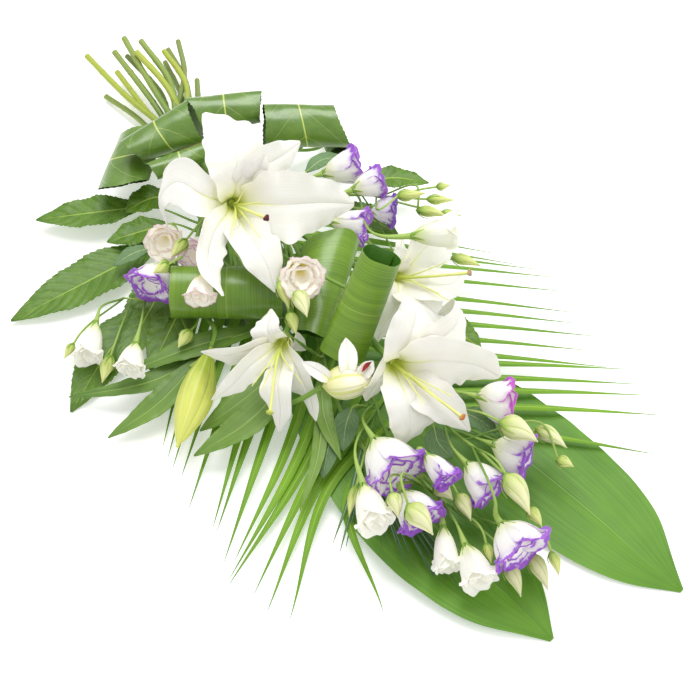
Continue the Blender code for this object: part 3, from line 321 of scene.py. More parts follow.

# %% [markdown]
# A lily petal is white, but never flat white: it is translucent, with fine lengthwise grooves, a pale
# green line on its midrib near the throat, and a green-yellow throat. The grooves are streaks that feed a
# bump and get a painted grey shade, the throat is a mask along the petal, a little subsurface light stands
# for the translucence, and a faint painted glow brightens the whole petal.

# %% Lily petals
def lily_petal(on, glow):
    """A white petal with a green throat, translucent by its subsurface light, with a faint painted glow over
    it.
    """
    streak = on.streaks(1.5, 0.02)
    off_rib = size_of(on.across_mm)
    white = mixed(on.cloud(55.0), seen(243, 241, 234), seen(238, 234, 221))
    # Painted shade: the petal is greyer down its fine grooves, where the streaks are low
    painted_groove_shade = mixed(rising(streak, 0.62, 0.30) * 0.25, white, seen(224, 222, 206))
    near_rib = rising(off_rib, 2.6, 0.2)
    ribbed = mixed(near_rib * rising(on.along, 0.55, 0.12) * 0.6, painted_groove_shade, seen(222, 228, 160))
    throat = rising(on.along + streak * 0.10 - near_rib * 0.14, 0.42, 0.14)
    deep = rising(on.along - near_rib * 0.05, 0.22, 0.06)
    coloured = mixed(deep, mixed(throat * 0.75, ribbed, seen(238, 240, 176)), seen(206, 216, 92))
    height = streak * 0.5 + rising(off_rib, 0.2, 1.6) * 0.6 + on.cloud(420.0) * 0.25
    # The emission is a faint painted glow of the petal's own colour, which brightens it though it is no lamp
    on.finish(coloured, rising(streak, 0.2, 0.9) * 0.15 + 0.42, height, 0.5, 0.35, (6, 6, 4),
              Emission_Color=coloured, Emission_Strength=glow, Specular_IOR_Level=0.35)


# The strength of the lily petals' painted glow
finishes_from(lily_petal, {"lily_petal": (0.06,)})

# %% [markdown]
# Lisianthus petals are thinner, ruffled and often rimmed with violet. The rim isn't painted on by area: it
# is read from the distance to the edge in millimetres, and streaks along the petal make it bleed inwards
# as the real colour does. The same recipe, with other rims and grounds, gives every kind of bloom here.

# %% Lisianthus petals
# A faint painted glow over the petals, which keeps the shaded insides of the cups light
PAINTED_BLOOM_GLOW = 0.13


def bloom_petals(on, ground, rim, rim_mm, heart):
    """Petals of one ground colour, with a rim so wide, and another colour down in the heart."""
    rim = seen(*rim)
    streak = on.streaks(2.2, 0.10)
    blotch = on.cloud(130.0)
    pale = mixed(blotch, seen(*ground), seen(244, 241, 233))
    veined = mixed(rising(streak, 0.55, 0.25) * 0.25, pale, seen(222, 222, 204))
    coloured = mixed(rising(on.along, 0.42, 0.05), veined, seen(*heart))
    if rim_mm:
        reach = on.edge_mm + streak * (rim_mm * 0.8) - blotch * (rim_mm * 1.4) + rim_mm * 0.3
        body = mixed(rising(reach, rim_mm * 1.7, rim_mm * 0.4) * 0.35, coloured, rim)
        coloured = mixed(rising(reach, rim_mm * 0.85, rim_mm * 0.45), body, rim)
    height = streak * 0.7 + on.cloud(300.0) * 0.3
    # The emission is the painted glow of the petals' own colour
    on.finish(coloured, rising(blotch, 0.2, 0.9) * 0.12 + 0.5, height, 0.35, 0.4, (7, 7, 6),
              Emission_Color=coloured, Emission_Strength=PAINTED_BLOOM_GLOW, Specular_IOR_Level=0.3)


# Ground, rim, width of the rim and heart of each kind
WHITE = (242, 241, 239)
finishes_from(bloom_petals, {
    "petal_violet_rim": (WHITE, (142, 74, 192), 9.6, (222, 226, 178)),
    "petal_green_white": ((232, 236, 206), WHITE, 0.0, (196, 212, 128)),
    "petal_dark_rim": ((218, 202, 234), (112, 56, 170), 8.6, WHITE),
    "petal_rose_rim": (WHITE, (180, 76, 186), 8.0, (226, 226, 188)),
    "petal_blush": ((248, 236, 230), (214, 160, 204), 3.2, (236, 224, 150)),
    "petal_cream": ((250, 243, 224), (232, 196, 206), 1.6, (234, 222, 136)),
    "petal_white": ((240, 240, 226), WHITE, 0.0, (214, 222, 150)),
})

# %% [markdown]
# Green leaves differ in three ways that the eye picks out: the hue, the gloss, and how the veins run. In
# grasses, lilies and aspidistra they run side by side from root to tip. In the saw-edged and the rolled
# leaves they branch from a pale midrib. Both patterns are worked out from the millimetres along and across
# the leaf, and feed the colour and a bump alike, so that a vein is both paler and proud.

# %% Leaves with veins side by side
def lengthwise_leaf(on, dark, light, vein, spacing_mm, gloss, midrib_mm, midrib, shaded_inner_face=None, coat=0.0):
    """A leaf whose veins run from root to tip, spacing_mm apart."""
    dark, light, vein = seen(*dark), seen(*light), seen(*vein)
    cloud = on.cloud(9.0, 3.0)
    streak = on.streaks(0.30, 0.006, 3.0)
    fine = on.streaks(1.7, 0.01)
    ground = mixed(cloud * 1.1 + streak * 0.7 - 0.42, dark, light)
    ridge = wave_of(on.across_mm + streak * 2.0, 1 / spacing_mm)
    lined = mixed(rising(ridge, 0.6, 1.0) * 0.10, ground, vein)
    lined = mixed(rising(fine, 0.48, 0.75) * 0.16, lined, dark)
    rib = rising(size_of(on.across_mm), midrib_mm, midrib_mm * 0.3) * rising(on.along, 1.05, 0.75)
    ribbed = mixed(rib * midrib, lined, vein)
    # The inner face of a loop takes its own green, made darker as painted shade inside the roll
    if shaded_inner_face:
        ribbed = mixed(rising(on.part, 0.0, -0.01), ribbed, seen(*shaded_inner_face))
    on.finish(ribbed, cloud * 0.14 + gloss, ridge * 0.2 + fine * 0.4 - rib * 0.9, 0.3, 0.06,
              Specular_IOR_Level=0.5, Coat_Weight=coat, Coat_Roughness=0.24)


# Dark and light ground, veins, how far apart they are, roughness, half width of the midrib and how strong
# it is, and for the loops also the inner face's colour, darkened as painted shade inside the roll, and a coat
finishes_from(lengthwise_leaf, {
    "aspidistra_green": ((46, 100, 8), (116, 168, 34), (150, 190, 80), 2.6, 0.42, 1.4, 0.35),
    "loop_green": ((58, 104, 12), (138, 174, 44), (168, 196, 80), 2.8, 0.26, 1.2, 0.35, (66, 112, 30), 0.4),
    "lily_leaf_green": ((50, 94, 20), (138, 172, 74), (176, 202, 110), 2.0, 0.38, 0.9, 0.6),
    "palm_green": ((62, 116, 4), (138, 186, 30), (176, 208, 74), 1.3, 0.40, 0.7, 0.5),
    "grass_green": ((36, 80, 30), (84, 132, 66), (190, 210, 176), 1.5, 0.42, 0.5, 0.9),
})

# %% [markdown]
# Side veins leave the midrib at a slant and curve towards the tip. Their number grows with the distance
# along the leaf less a share of the distance across, so its fraction says how far a point is from a vein.
# A net of finer veins comes from where two soft clouds agree. The inner face of a rolled leaf is darker,
# its own green with painted shade for the inside of the roll, and has no coat.

# %% Leaves with branching veins
def branching_leaf(on, dark, light, vein, spacing_mm, slant, vein_mm, vein_share, gloss, midrib_mm, puff_mm,
                   shine=0.5, shaded_inner_face=None, coat=0.0):
    """A leaf with a midrib and side veins, spacing_mm apart, that slant and curve towards the tip."""
    dark, light, vein = seen(*dark), seen(*light), seen(*vein)
    cloud = on.cloud(30.0, 3.0)
    wide = on.streaks(0.10, 0.10)
    ground = mixed(cloud * 0.8 + wide * 0.4 - 0.1, dark, light)
    out = size_of(on.across_mm)
    bent = on.along_mm - out * slant - out * out * 0.012 + wide * 4.0
    off = size_of(on.paint.math("FRACT", bent * (1 / spacing_mm)) - 0.5) * spacing_mm
    side_vein = rising(off, vein_mm, vein_mm * 0.25) * rising(on.edge_mm, 0.5, 6.0)
    rib = rising(out + on.along * (midrib_mm * 0.5), midrib_mm, midrib_mm * 0.55)
    grain = on.cloud(260.0, 1.0)
    net = rising(grain, 0.42, 0.5) * rising(grain, 0.58, 0.5)
    lined = mixed(side_vein * vein_share, mixed(net * 0.25, ground, dark), vein)
    inner = rising(on.part, 0.0, -0.01)
    # On a roll the inner face is darkened: its own colour and painted shade inside the roll
    lower = mixed(
        inner * (0.85 if shaded_inner_face else 0.55), mixed(rib * 0.9, lined, vein),
        seen(*shaded_inner_face) if shaded_inner_face else light)
    height = rising(off, 0.0, spacing_mm * 0.5) * 0.8 - side_vein * 0.3 - rib * 0.5 + net * 0.12
    on.finish(lower, cloud * 0.16 + inner * 0.3 + gloss, height, puff_mm, 0.05,
              Specular_IOR_Level=shine, Coat_Weight=(1 - inner) * coat, Coat_Roughness=0.22)


# Dark and light ground, veins, how far apart they are, their slant, half width and strength, roughness,
# half width of the midrib, how far the leaf swells between the veins, shine, the inner face's colour (its
# own green darkened as painted shade inside the roll) and coat
finishes_from(branching_leaf, {
    "saw_green": ((54, 94, 14), (112, 150, 36), (160, 190, 76), 15.0, 0.9, 0.6, 0.45, 0.34, 1.5, 0.6),
    "roll_green": ((62, 100, 18), (122, 158, 58), (200, 214, 108), 31.0, 0.7, 0.7, 0.35, 0.24, 1.4, 0.4, 0.6,
                   (34, 54, 16), 0.5),
    "round_green": ((84, 116, 74), (126, 156, 108), (176, 196, 140), 8.0, 1.4, 0.5, 0.4, 0.5, 0.8, 0.4, 0.35),
})

# %% [markdown]
# Stems, stalks, buds and calyces are smooth green skins that fade from one hue to another along the part.
# One recipe with two hues, a share where they meet and faint ribs covers all of them. Cut stems also have
# brown flecks and rings at their nodes, and a pale, pithy cut end.

# %% Stalks, buds and cut ends
BUD_PETALS = 5
BUD_TWIST = 3.2
BUD_START = 8.0


def green_skin(on, root, tip, meet, ribs_mm=1.6, gloss=0.42, flecks=0.0, glow=0.08, rib=None, rib_share=0.0,
               seams=0.0):
    """A skin that goes from one hue at the root to another at the tip, with fine ribs along it."""
    root, tip = seen(*root), seen(*tip)
    cloud = on.cloud(70.0, 3.0)
    streak = on.streaks(1.1, 0.03)
    fade = rising(on.along + cloud * 0.3 - 0.15, meet - 0.35, meet + 0.35)
    ribs = wave_of(on.across_mm, 1 / ribs_mm)
    ground = mixed(rising(ribs, 0.6, 1.0) * rib_share, mixed(fade, root, tip), seen(*rib) if rib else root)
    ground = mixed(rising(streak, 0.58, 0.75) * 0.25, ground, root)
    if flecks:
        ground = mixed(rising(on.cloud(210.0), 0.62, 0.70) * flecks, ground, seen(150, 116, 70))
    if seams:
        turn = on.across * (math.pi * BUD_PETALS / 2) + on.part * BUD_START + on.along * BUD_TWIST
        seam = rising(size_of(turn.math("SINE", turn)), 0.34, 0.04)
        ground = mixed(seam * seams, ground, root)
    on.finish(ground, cloud * 0.15 + gloss, ribs * 0.4 + streak * 0.6, 0.25, glow, (2, 3, 1),
              Specular_IOR_Level=0.45)


# Root, tip, the share where they meet, how far apart the ribs are, roughness, brown flecks, how much light
# goes in, the ribs' own colour and strength, and the strength of the seams between wound petals
finishes_from(green_skin, {
    "stalk_green": ((108, 146, 56), (160, 188, 92), 0.5),
    "hidden_green": ((84, 124, 40), (120, 158, 62), 0.5),
    "calyx_green": ((128, 168, 64), (180, 202, 108), 0.6),
    "bud_cream": ((168, 190, 84), (222, 226, 150), 0.40, 2.0, 0.42, 0.0, 0.2, (176, 194, 90), 0.2, 0.7),
    "bloom_bud": ((178, 198, 92), (234, 233, 188), 0.32, 2.4, 0.42, 0.0, 0.2, (190, 204, 110), 0.2, 0.7),
    "lily_bud_green": ((150, 172, 44), (214, 218, 104), 0.40, 9.0, 0.38, 0.0, 0.15, (236, 236, 180), 0.25),
    "lily_opening": ((222, 222, 140), (240, 236, 210), 0.30, 14.0, 0.40, 0.0, 0.2, (206, 210, 104), 0.75),
    "filament_green": ((190, 206, 84), (228, 230, 140), 0.4, 1.2, 0.4, 0.0, 0.2),
    "stigma_red": ((120, 40, 52), (84, 24, 40), 0.4, 1.5, 0.55),
    "stigma_gold": ((196, 160, 70), (190, 116, 50), 0.4, 1.5, 0.5),
    "stigma_green": ((196, 204, 96), (182, 190, 84), 0.4, 1.5, 0.5),
    "stigma_pale": ((196, 186, 130), (172, 138, 108), 0.4, 1.5, 0.5),
    "anther_red": ((176, 44, 44), (120, 26, 30), 0.5, 1.0, 0.7),
    "stem_yellow": ((170, 182, 70), (146, 166, 56), 0.5, 2.2, 0.35, 0.3),
    "stem_green": ((140, 160, 78), (112, 144, 62), 0.5, 2.0, 0.38, 0.45),
    "stem_dark": ((128, 146, 78), (108, 136, 62), 0.5, 1.8, 0.42, 0.6),
    "cut_end": ((206, 210, 150), (170, 178, 104), 0.5, 0.8, 0.7, 0.3),
})

# %% [markdown]
# Stems, ribs and spines are smooth curves through a few named places. Blender's curve objects could carry
# them, but a leaf needs the points themselves, evenly spaced, so the curve is worked out here. A profile,
# such as the half width of a leaf, is a short row of numbers at even steps with a smooth line through it.

# %% Smooth lines and curves
FINE_STEPS = 16


def smooth(values, share):
    """The value at a share, 0 to 1, of the way along a smooth line through evenly spaced values."""
    last = len(values) - 1
    at = np.clip(np.asarray(share, float), 0, 1) * last
    i = np.minimum(at.astype(int), last - 1)
    f = at - i
    row = np.array([2 * values[0] - values[1], *values, 2 * values[-1] - values[-2]], float)
    a, b, c, d = row[i], row[i + 1], row[i + 2], row[i + 3]
    return (b * 2 + (c - a) * f + (a * 2 - b * 5 + c * 4 - d) * f**2 + (b * 3 - a - c * 3 + d) * f**3) * 0.5


def way_along(points):
    """How far along a line each of its points lies."""
    return np.concatenate([[0], np.cumsum(np.linalg.norm(np.diff(points, axis=0), axis=1))])


def curve_through(knots, count):
    """count + 1 evenly spaced points on a smooth curve through the knots, however far apart those lie."""
    spans = [(b - a).length for a, b in zip(knots, knots[1:])]
    slopes = [(b - a) / span for a, b, span in zip(knots, knots[1:], spans)]
    middle = [
        (slopes[i] * spans[i + 1] + slopes[i + 1] * spans[i]) / (spans[i] + spans[i + 1])
        for i in range(len(spans) - 1)
    ]
    tangents = [slopes[0], *middle, slopes[-1]]
    fine = []
    for i, span in enumerate(spans):
        for step in range(FINE_STEPS):
            f = step / FINE_STEPS
            fine.append(
                knots[i] * (1 - 3 * f**2 + 2 * f**3)
                + knots[i + 1] * (3 * f**2 - 2 * f**3)
                + tangents[i] * (span * (f - 2 * f**2 + f**3))
                + tangents[i + 1] * (span * (f**3 - f**2))
            )
    fine = np.array([*fine, knots[-1]])
    length = way_along(fine)
    wanted = np.linspace(0, length[-1], count + 1)
    return [Vector(point) for point in np.stack([np.interp(wanted, length, fine[:, k]) for k in range(3)], 1)]


def between(start, end, shares):
    """Points at these shares of the way from start to end."""
    return [start.lerp(end, float(share)) for share in shares]


def rows_along(spine, face, count):
    """Points along the spine, and at each the directions across the leaf and out of its upper face."""
    points = curve_through(spine, count)
    side, normal = [], []
    for i in range(count + 1):
        ahead = (points[min(i + 1, count)] - points[max(i - 1, 0)]).normalized()
        face = square_to(ahead, face)
        side.append(ahead.cross(face))
        normal.append(face)
    return np.array(points), np.array(side), np.array(normal)


def wander(share, cycles, seed):
    """An uneven swing between about -1 and 1 along a share: three sines that don't keep step."""
    draw = np.random.default_rng(seed)
    swings = [np.sin(math.tau * (share * cycles * pace + draw.uniform())) for pace in (0.6, 1.0, 1.7)]
    return sum(swings) / 2


print("a leaf's outline at its middle:", round(float(smooth((0.1, 0.8, 1.0, 0.6, 0.1), 0.5)), 2))

# %% [markdown]
# All parts of a node grow into one mesh, so that the piece stays one object however many petals it has.
# A petal or leaf is a grid of points on its middle surface: both faces are laid off from it, thinner at
# the edge, and a rim joins them. A Solidify modifier would do it for one sheet, but here sheets, stalks
# and buds share the mesh, each with its own finish.

# %% One growing mesh for each piece
THICK = 0.9
EDGE_THINNING = 0.45
NO_EDGE = 99
CREASE = math.radians(38)
total_faces = 0


def shares(rows, places):
    """A column of shares from 0 to 1 along a grid, and a row from -1 to 1 across it."""
    return np.linspace(0, 1, rows + 1)[:, None], np.linspace(-1, 1, places + 1)[None, :]


def threes(first, second, third):
    """Three numbers for each point of a grid."""
    return np.stack(np.broadcast_arrays(first, second, third), 2).astype(float)


def quads(index):
    """The faces between the numbered points of a grid."""
    return np.stack([index[:-1, :-1], index[:-1, 1:], index[1:, 1:], index[1:, :-1]], 2).reshape(-1, 4)


class Growth:
    """The points and faces of one piece as it grows, with what its finishes read at each point."""

    def __init__(self, seed):
        self.points, self.faces, self.lay, self.run, self.picks, self.finishes = [], [], [], [], [], []
        self.count = 0
        self.draw = np.random.default_rng(seed)

    def part_number(self):
        """A number of its own for each part, so that no two petals are coloured alike."""
        return float(self.draw.uniform(0.1, 1.0))

    def add(self, points, faces, lay, run, finish):
        """Points, blocks of faces between them, and the two rows of numbers of each point."""
        if finish not in self.finishes:
            self.finishes.append(finish)
        self.points.append(points)
        self.lay.append(lay)
        self.run.append(run)
        for block in faces:
            self.faces += (block + self.count).tolist()
            self.picks += [self.finishes.index(finish)] * len(block)
        self.count += len(points)

    def sheet(self, middle, run, finish, thick=THICK):
        """A closed petal or leaf on a grid of points, root to tip by side to side."""
        rows, places = middle.shape[:2]
        out = np.cross(np.gradient(middle, axis=1), np.gradient(middle, axis=0))
        out /= np.maximum(np.linalg.norm(out, axis=2, keepdims=True), 1e-12)
        u, v = shares(rows - 1, places - 1)
        half = out * (thick * MM / 2 * (1 - EDGE_THINNING * v**4))[..., None]
        upper = threes(u, v, self.part_number())
        top = np.arange(rows * places).reshape(rows, places)
        low = top + rows * places
        rim = np.concatenate([top[:-1, 0], top[-1, :-1], top[:0:-1, -1], top[0, :0:-1]])
        below = rim + rows * places
        edge = np.stack([rim, np.roll(rim, -1), np.roll(below, -1), below], 1)
        faces = [quads(top), quads(low)[:, [0, 3, 2, 1]], edge]
        numbers = ([middle + half, middle - half], [upper, upper * (1, 1, -1)], [run, run])
        points, lay, run = (np.concatenate(pair).reshape(-1, 3) for pair in numbers)
        self.add(points, faces, lay, run, finish)

    def tube(self, path, radius, finish, sides=8, shape=None, part=None):
        """A stalk round a path, with one radius or one for each point, which shape(u, angle) scales."""
        path = np.array(path)
        rows = len(path)
        radius = np.broadcast_to(np.asarray(radius, float), rows)
        ahead = np.gradient(path, axis=0)
        length = way_along(path) / MM
        zero, frames = Vector(ahead[0]).orthogonal(), []
        for step in ahead:
            step = Vector(step).normalized()
            zero = square_to(step, zero)
            frames.append((zero, step.cross(zero)))
        frames = np.array(frames)[:, None]
        angle = np.linspace(0, math.tau, sides, endpoint=False)[None, :]
        u = np.linspace(0, 1, rows)[:, None]
        spread = radius[:, None] * MM * (shape(u, angle) if shape else 1)
        ring = frames[:, :, 0] * np.cos(angle)[..., None] + frames[:, :, 1] * np.sin(angle)[..., None]
        skin = path[:, None] + ring * spread[..., None]
        index = np.arange(rows * sides).reshape(rows, sides)
        index = np.hstack([index, index[:, :1]])
        foot, head = np.full(sides, rows * sides), np.full(sides, rows * sides + 1)
        faces = [quads(index), np.stack([index[0, 1:], index[0, :-1], foot], 1),
                 np.stack([index[-1, :-1], index[-1, 1:], head], 1)]
        part = part or self.part_number()
        lay = threes(u, angle / math.pi - 1, part)
        run = threes(length[:, None], angle * max(radius), NO_EDGE)
        ends = (path[[0, -1]], [[0, 0, part], [1, 0, part]], [[0, 0, NO_EDGE], [length[-1], 0, NO_EDGE]])
        pairs = zip((skin, lay, run), ends)
        points, lay, run = (np.concatenate([grid.reshape(-1, 3), end]) for grid, end in pairs)
        self.add(points, faces, lay, run, finish)

    def stem(self, knots, count, radii, finish, sides=8):
        """A smooth stalk through the knots, with radii at even steps along it."""
        self.tube(curve_through(knots, count), smooth(radii, np.linspace(0, 1, count + 1)), finish, sides)

    def piece(self, name, node):
        """Makes the object, which rides on the body and stands for its CAD node."""
        global total_faces
        mesh = bpy.data.meshes.new(name)
        mesh.from_pydata(np.concatenate(self.points).tolist(), [], self.faces)
        for row, numbers in (("lay", self.lay), ("run", self.run)):
            made = mesh.attributes.new(row, "FLOAT_VECTOR", "POINT")
            made.data.foreach_set("vector", np.concatenate(numbers).astype(np.float32).ravel())
        for finish in self.finishes:
            mesh.materials.append(FINISHES[finish])
        mesh.polygons.foreach_set("material_index", self.picks)
        mesh.shade_smooth()
        mesh.set_sharp_from_angle(angle=CREASE)
        made = placed(name, mesh)
        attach(made, "root")
        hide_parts(node)
        total_faces += len(self.faces)


def count_faces(what):
    """Prints how many faces the pieces have so far."""
    print(what, "done, faces so far:", total_faces)


print("a new piece starts with", Growth(0).count, "points")

# %% [markdown]
# A leaf is widest somewhere past its root and narrows to a point. Across, it is an arc that may be folded
# on its midrib, and its edges wave, ruffle or are cut into teeth. All of that is worked out for a whole
# grid at once, from the same spine and half width as the solid has, so the fine leaf lies on it.

# %% Leaves and petals on a spine
TEPAL = (0.10, 0.54, 0.92, 1.0, 0.88, 0.58, 0.08)
TEPAL_FULLNESS = 1.08
LILY_LEAF = (0.35, 0.80, 1.0, 0.96, 0.78, 0.46, 0.06)
LONG_LEAF = (0.28, 0.60, 0.88, 1.0, 1.03, 0.95, 0.68, 0.04)
TOOTHED_LEAF = (0.12, 0.66, 0.97, 1.0, 0.84, 0.52, 0.05)
ROUND_LEAF = (0.22, 0.78, 1.0, 0.92, 0.62, 0.08)
LEAFLET = (0.42, 0.78, 0.98, 1.0, 0.84, 0.56, 0.26, 0.03)
GRASS_BLADE = (0.55, 0.95, 1.0, 0.88, 0.66, 0.38, 0.08)
SEPAL = (0.9, 1.0, 0.8, 0.5, 0.1)
LEAST_BEND = 0.01
GROOVE_WIDTH = 0.12


def run_of(middle, half_mm, widest_mm, u, v):
    """Millimetres along, across and in from the edge, for each point of a leaf's grid."""
    along = way_along(middle[:, middle.shape[1] // 2])[:, None] / MM
    return threes(along, v * widest_mm, np.minimum(half_mm * (1 - abs(v)), (along[-1] - along) * 0.6))


def leaf_grid(spine, face, half_width, outline, along=40, across=12, cup=(0.0, 0.0), fold=0.0, wave=0.0,
              waves=3.0, ruffle=0.0, ruffles=6.0, groove=0.0, teeth=0, tooth=0.0, wobble=0.0, seed=1):
    """The middle surface of a leaf or petal, and its rows of millimetres."""
    centre, side, normal = rows_along(spine, face, along)
    u, v = shares(along, across)
    half = half_width * smooth(outline, u)
    bend = smooth(cup, u)
    bend = np.where(abs(bend) < LEAST_BEND, LEAST_BEND, bend)
    mid = np.sin(math.pi * u)
    sway = np.where(v < 0, wander(u, ruffles, seed), wander(u, ruffles, seed + 50))
    out = half * np.sin(bend * v) / bend * (1 + wobble * sway * v * v)
    if teeth:
        way = np.where(v < 0, 0.0, 0.5)
        out = out * (1 + tooth * (0.4 - (1 - (u * teeth + way) % 1)) * abs(v) ** 8 * mid**0.3)
    lift = half * ((1 - np.cos(bend * v)) / bend + fold * abs(v))
    swing = np.sin(waves * math.tau * u + np.where(v < 0, -1.0, 1.0))
    lift = lift + wave * swing * v * v * mid
    lift = lift + ruffle * sway * abs(v) ** 3 * mid**0.7
    lift = lift - groove * np.exp(-((v / GROOVE_WIDTH) ** 2)) * mid**0.5
    middle = centre[:, None] + side[:, None] * (out * MM)[..., None]
    middle = middle + normal[:, None] * (lift * MM)[..., None]
    return middle, run_of(middle, half, half_width, u, v)


test_leaf, test_run = leaf_grid(spots((100, 200, 20), (150, 200, 20), (200, 200, 20)), UP, 10, LILY_LEAF)
print("a leaf of", test_leaf.shape[:2], "points is", round(float(test_run[-1, 0, 0])), "mm long")

# %% [markdown]
# An open oriental lily has six tepals, three wide inner ones over three narrow outer ones. Each leaves the
# throat along the flower's axis, arches out and curls back at its tip, with a groove down its middle and a
# ruffled edge. Each spine is set by places seen from the front, with a depth towards the viewer. The
# filaments and the pistil are a piece of their own; this florist has taken off the anthers.

# %% Lilies
LILY_TUBE = 18
LILY_CORE = 5
SEAT_GAP = 0.3
STIGMA = (0.0, 0.7, 0.95, 1.0, 0.8, 0.0)

# Throat, lean (right, up, towards the viewer), tepals, filament tips, pistil tip, stigma.
# A tepal is its half width, its wave, and its places: (across, down, towards the viewer from the throat)
LILIES = {
    "lily_1": (
        (234, 204, 112),
        (0.30, -0.22, 0.92),
        (
            (27, 4, (236, 160, 30), (224, 130, 24), (204, 113, 4)),
            (19, 3, (262, 168, 24), (283, 156, 16), (300, 142, -4)),
            (31, 5, (290, 205, 24), (325, 203, 20), (354, 204, 4)),
            (21, 4, (252, 240, 26), (266, 264, 34), (276, 292, 34)),
            (16, 3, (214, 235, 30), (209, 262, 44), (223, 296, 54)),
            (21, 3, (204, 196, 24), (176, 182, 12), (160, 200, -8), (167, 226, -22)),
        ),
        ((262, 202, 34), (243, 192, 38), (230, 236, 34), (260, 238, 34), (236, 226, 40)),
        (266, 218, 36),
        "stigma_red",
    ),
    "lily_2": (
        (281, 345, 82),
        (-0.20, -0.55, 0.81),
        (
            (14, 2, (268, 334, 10), (271, 309, -2)),
            (11.5, 2, (250, 350, 14), (225, 356, 12), (201, 352, 2)),
            (13, 2, (247, 370, 18), (230, 388, 14), (212, 400, 4)),
            (14, 2, (277, 388, 20), (280, 412, 14), (279, 432, 2)),
            (13, 2, (296, 370, 14), (308, 395, 14), (316, 421, 6)),
            (10, 1, (294, 342, -8), (306, 350, -20)),
        ),
        ((302, 384, 24), (252, 386, 26), (261, 391, 30)),
        (270, 412, 34),
        "stigma_green",
    ),
    "lily_3": (
        (397, 366, 95),
        (0.35, -0.35, 0.87),
        (
            (24, 3, (412, 335, 22), (417, 312, 14), (404, 297, -2)),
            (17, 3, (430, 345, 10), (456, 326, 2), (460, 308, -12), (438, 314, -26)),
            (27, 4, (440, 362, 24), (475, 366, 20), (500, 377, 4)),
            (17, 3, (430, 395, 20), (452, 412, 16), (470, 431, 2)),
            (24, 4, (408, 400, 20), (411, 430, 12), (400, 446, -6)),
            (16, 2, (384, 374, 8), (366, 401, -6)),
        ),
        ((440, 402, 36), (452, 396, 38), (425, 405, 36), (430, 390, 40)),
        (462, 417, 38),
        "stigma_gold",
    ),
    "lily_4": (
        (400, 277, 78),
        (0.60, -0.10, 0.79),
        (
            (10, 1, (401, 258, 8), (402, 237, -4)),
            (22, 3, (424, 250, -6), (446, 234, -22), (458, 210, -36)),
            (16, 2, (430, 285, 14), (452, 284, 10), (463, 272, -4)),
            (21, 3, (424, 302, 14), (438, 316, 8), (446, 327, -4)),
            (18, 3, (396, 306, 8), (384, 325, 2), (375, 344, -8)),
            (12, 1, (388, 288, 6), (376, 300, -6)),
        ),
        ((447, 262, 30), (440, 294, 30), (452, 302, 28)),
        (469, 273, 32),
        "stigma_pale",
    ),
}


def tepals_of(grow, throat, axis, foot, tepals, seed):
    """The six tepals of an open lily."""
    for k, (half_width, wave, *places) in enumerate(tepals):
        outer = k % 2
        knots = [nearer_than(throat, *place) for place in places]
        radial = square_to(axis, knots[0] - throat)
        root = foot + axis * (2.5 * MM) + radial * ((4.2 + outer * 1.6) * MM)
        neck = foot + axis * (19 * MM) + radial * ((8 + outer * 4) * MM)
        middle, run = leaf_grid(
            [root, neck, *knots], axis * 0.5 - radial, half_width * TEPAL_FULLNESS, TEPAL,
            along=56, across=20, cup=(0.9, 0.6, 0.25, -0.1, -0.35), wave=wave, waves=2.0,
            ruffle=half_width * 0.12, ruffles=4.0 - outer, groove=half_width * 0.07, wobble=0.07,
            seed=seed + k)
        grow.sheet(middle, run, "lily_petal", 0.8)


def stamens_of(grow, throat, axis, hub_foot, filaments, pistil, stigma):
    """The filaments, without anthers, and the pistil with its three-lobed stigma."""
    def thread(place, low, high, aside, count, radii, sides):
        """A thread from the hub through a point over the throat to its tip."""
        tip = nearer_than(throat, *place)
        over = throat + axis * (high * MM) + square_to(axis, tip - throat) * (aside * MM)
        knots = [hub_foot + axis * (low * MM), over, tip]
        grow.stem(knots, count, radii, "filament_green", sides)
        return tip, curve_through(knots, count)

    hub = [hub_foot + axis * (height * MM) for height in (0, 1.5, 3.5, 5)]
    grow.tube(hub, (2.4, 3.0, 2.9, 1.8), "filament_green", 14)
    for place in filaments:
        thread(place, 3, 8, 2, 26, (1.05, 0.5), 8)
    tip, path = thread(pistil, 2, 14, 3, 30, (2.0, 1.5, 1.3, 1.6), 10)
    ahead = (path[-1] - path[-2]).normalized()
    along = np.linspace(0, 1, 9)
    dome = [tip + ahead * ((5 * share - 2) * MM) for share in along]
    lobes = lambda u, angle: 1 + 0.22 * np.cos(3 * angle) * (u > 0.2)
    grow.tube(dome, 3.3 * smooth(STIGMA, along), stigma, 18, lobes)


def lily(name, number, throat_place, lean, tepals, filaments, pistil, stigma):
    """One open lily and, as a piece of its own, what stands in its throat."""
    throat = above_table(*throat_place)
    axis = leaning(*lean)
    foot = throat - axis * (LILY_TUBE * MM)
    core_top = foot + axis * (LILY_CORE * MM)
    flower = Growth(number)
    flower.tube(between(foot, core_top, (0, 0.4, 1)), (4.6, 5.8, 6.8), "calyx_green", 18)
    tepals_of(flower, throat, axis, foot, tepals, number * 10)
    flower.piece(name + "_flower", name)
    inside = Growth(number + 500)
    stamens_of(inside, throat, axis, core_top + axis * (SEAT_GAP * MM), filaments, pistil, stigma)
    inside.piece(name + "_inside", name + "_stamens")


for number, (name, parts) in enumerate(LILIES.items(), 11):
    lily(name, number, *parts)
count_faces("four lilies")

# %% [markdown]
# Lisianthus is sold by its ruffled cups. From the side a bloom is a cone of overlapping petals, and from
# above it is rims inside rims. Each petal is a grid that turns round the bloom's axis: two profiles give
# how far out and how high it is from root to rim, and its edge is ruffled. Three layers, each turned by the
# golden angle against the last, make the heart look folded and not stacked.

# %% Lisianthus blooms
GOLDEN_ANGLE = math.pi * (3 - math.sqrt(5))

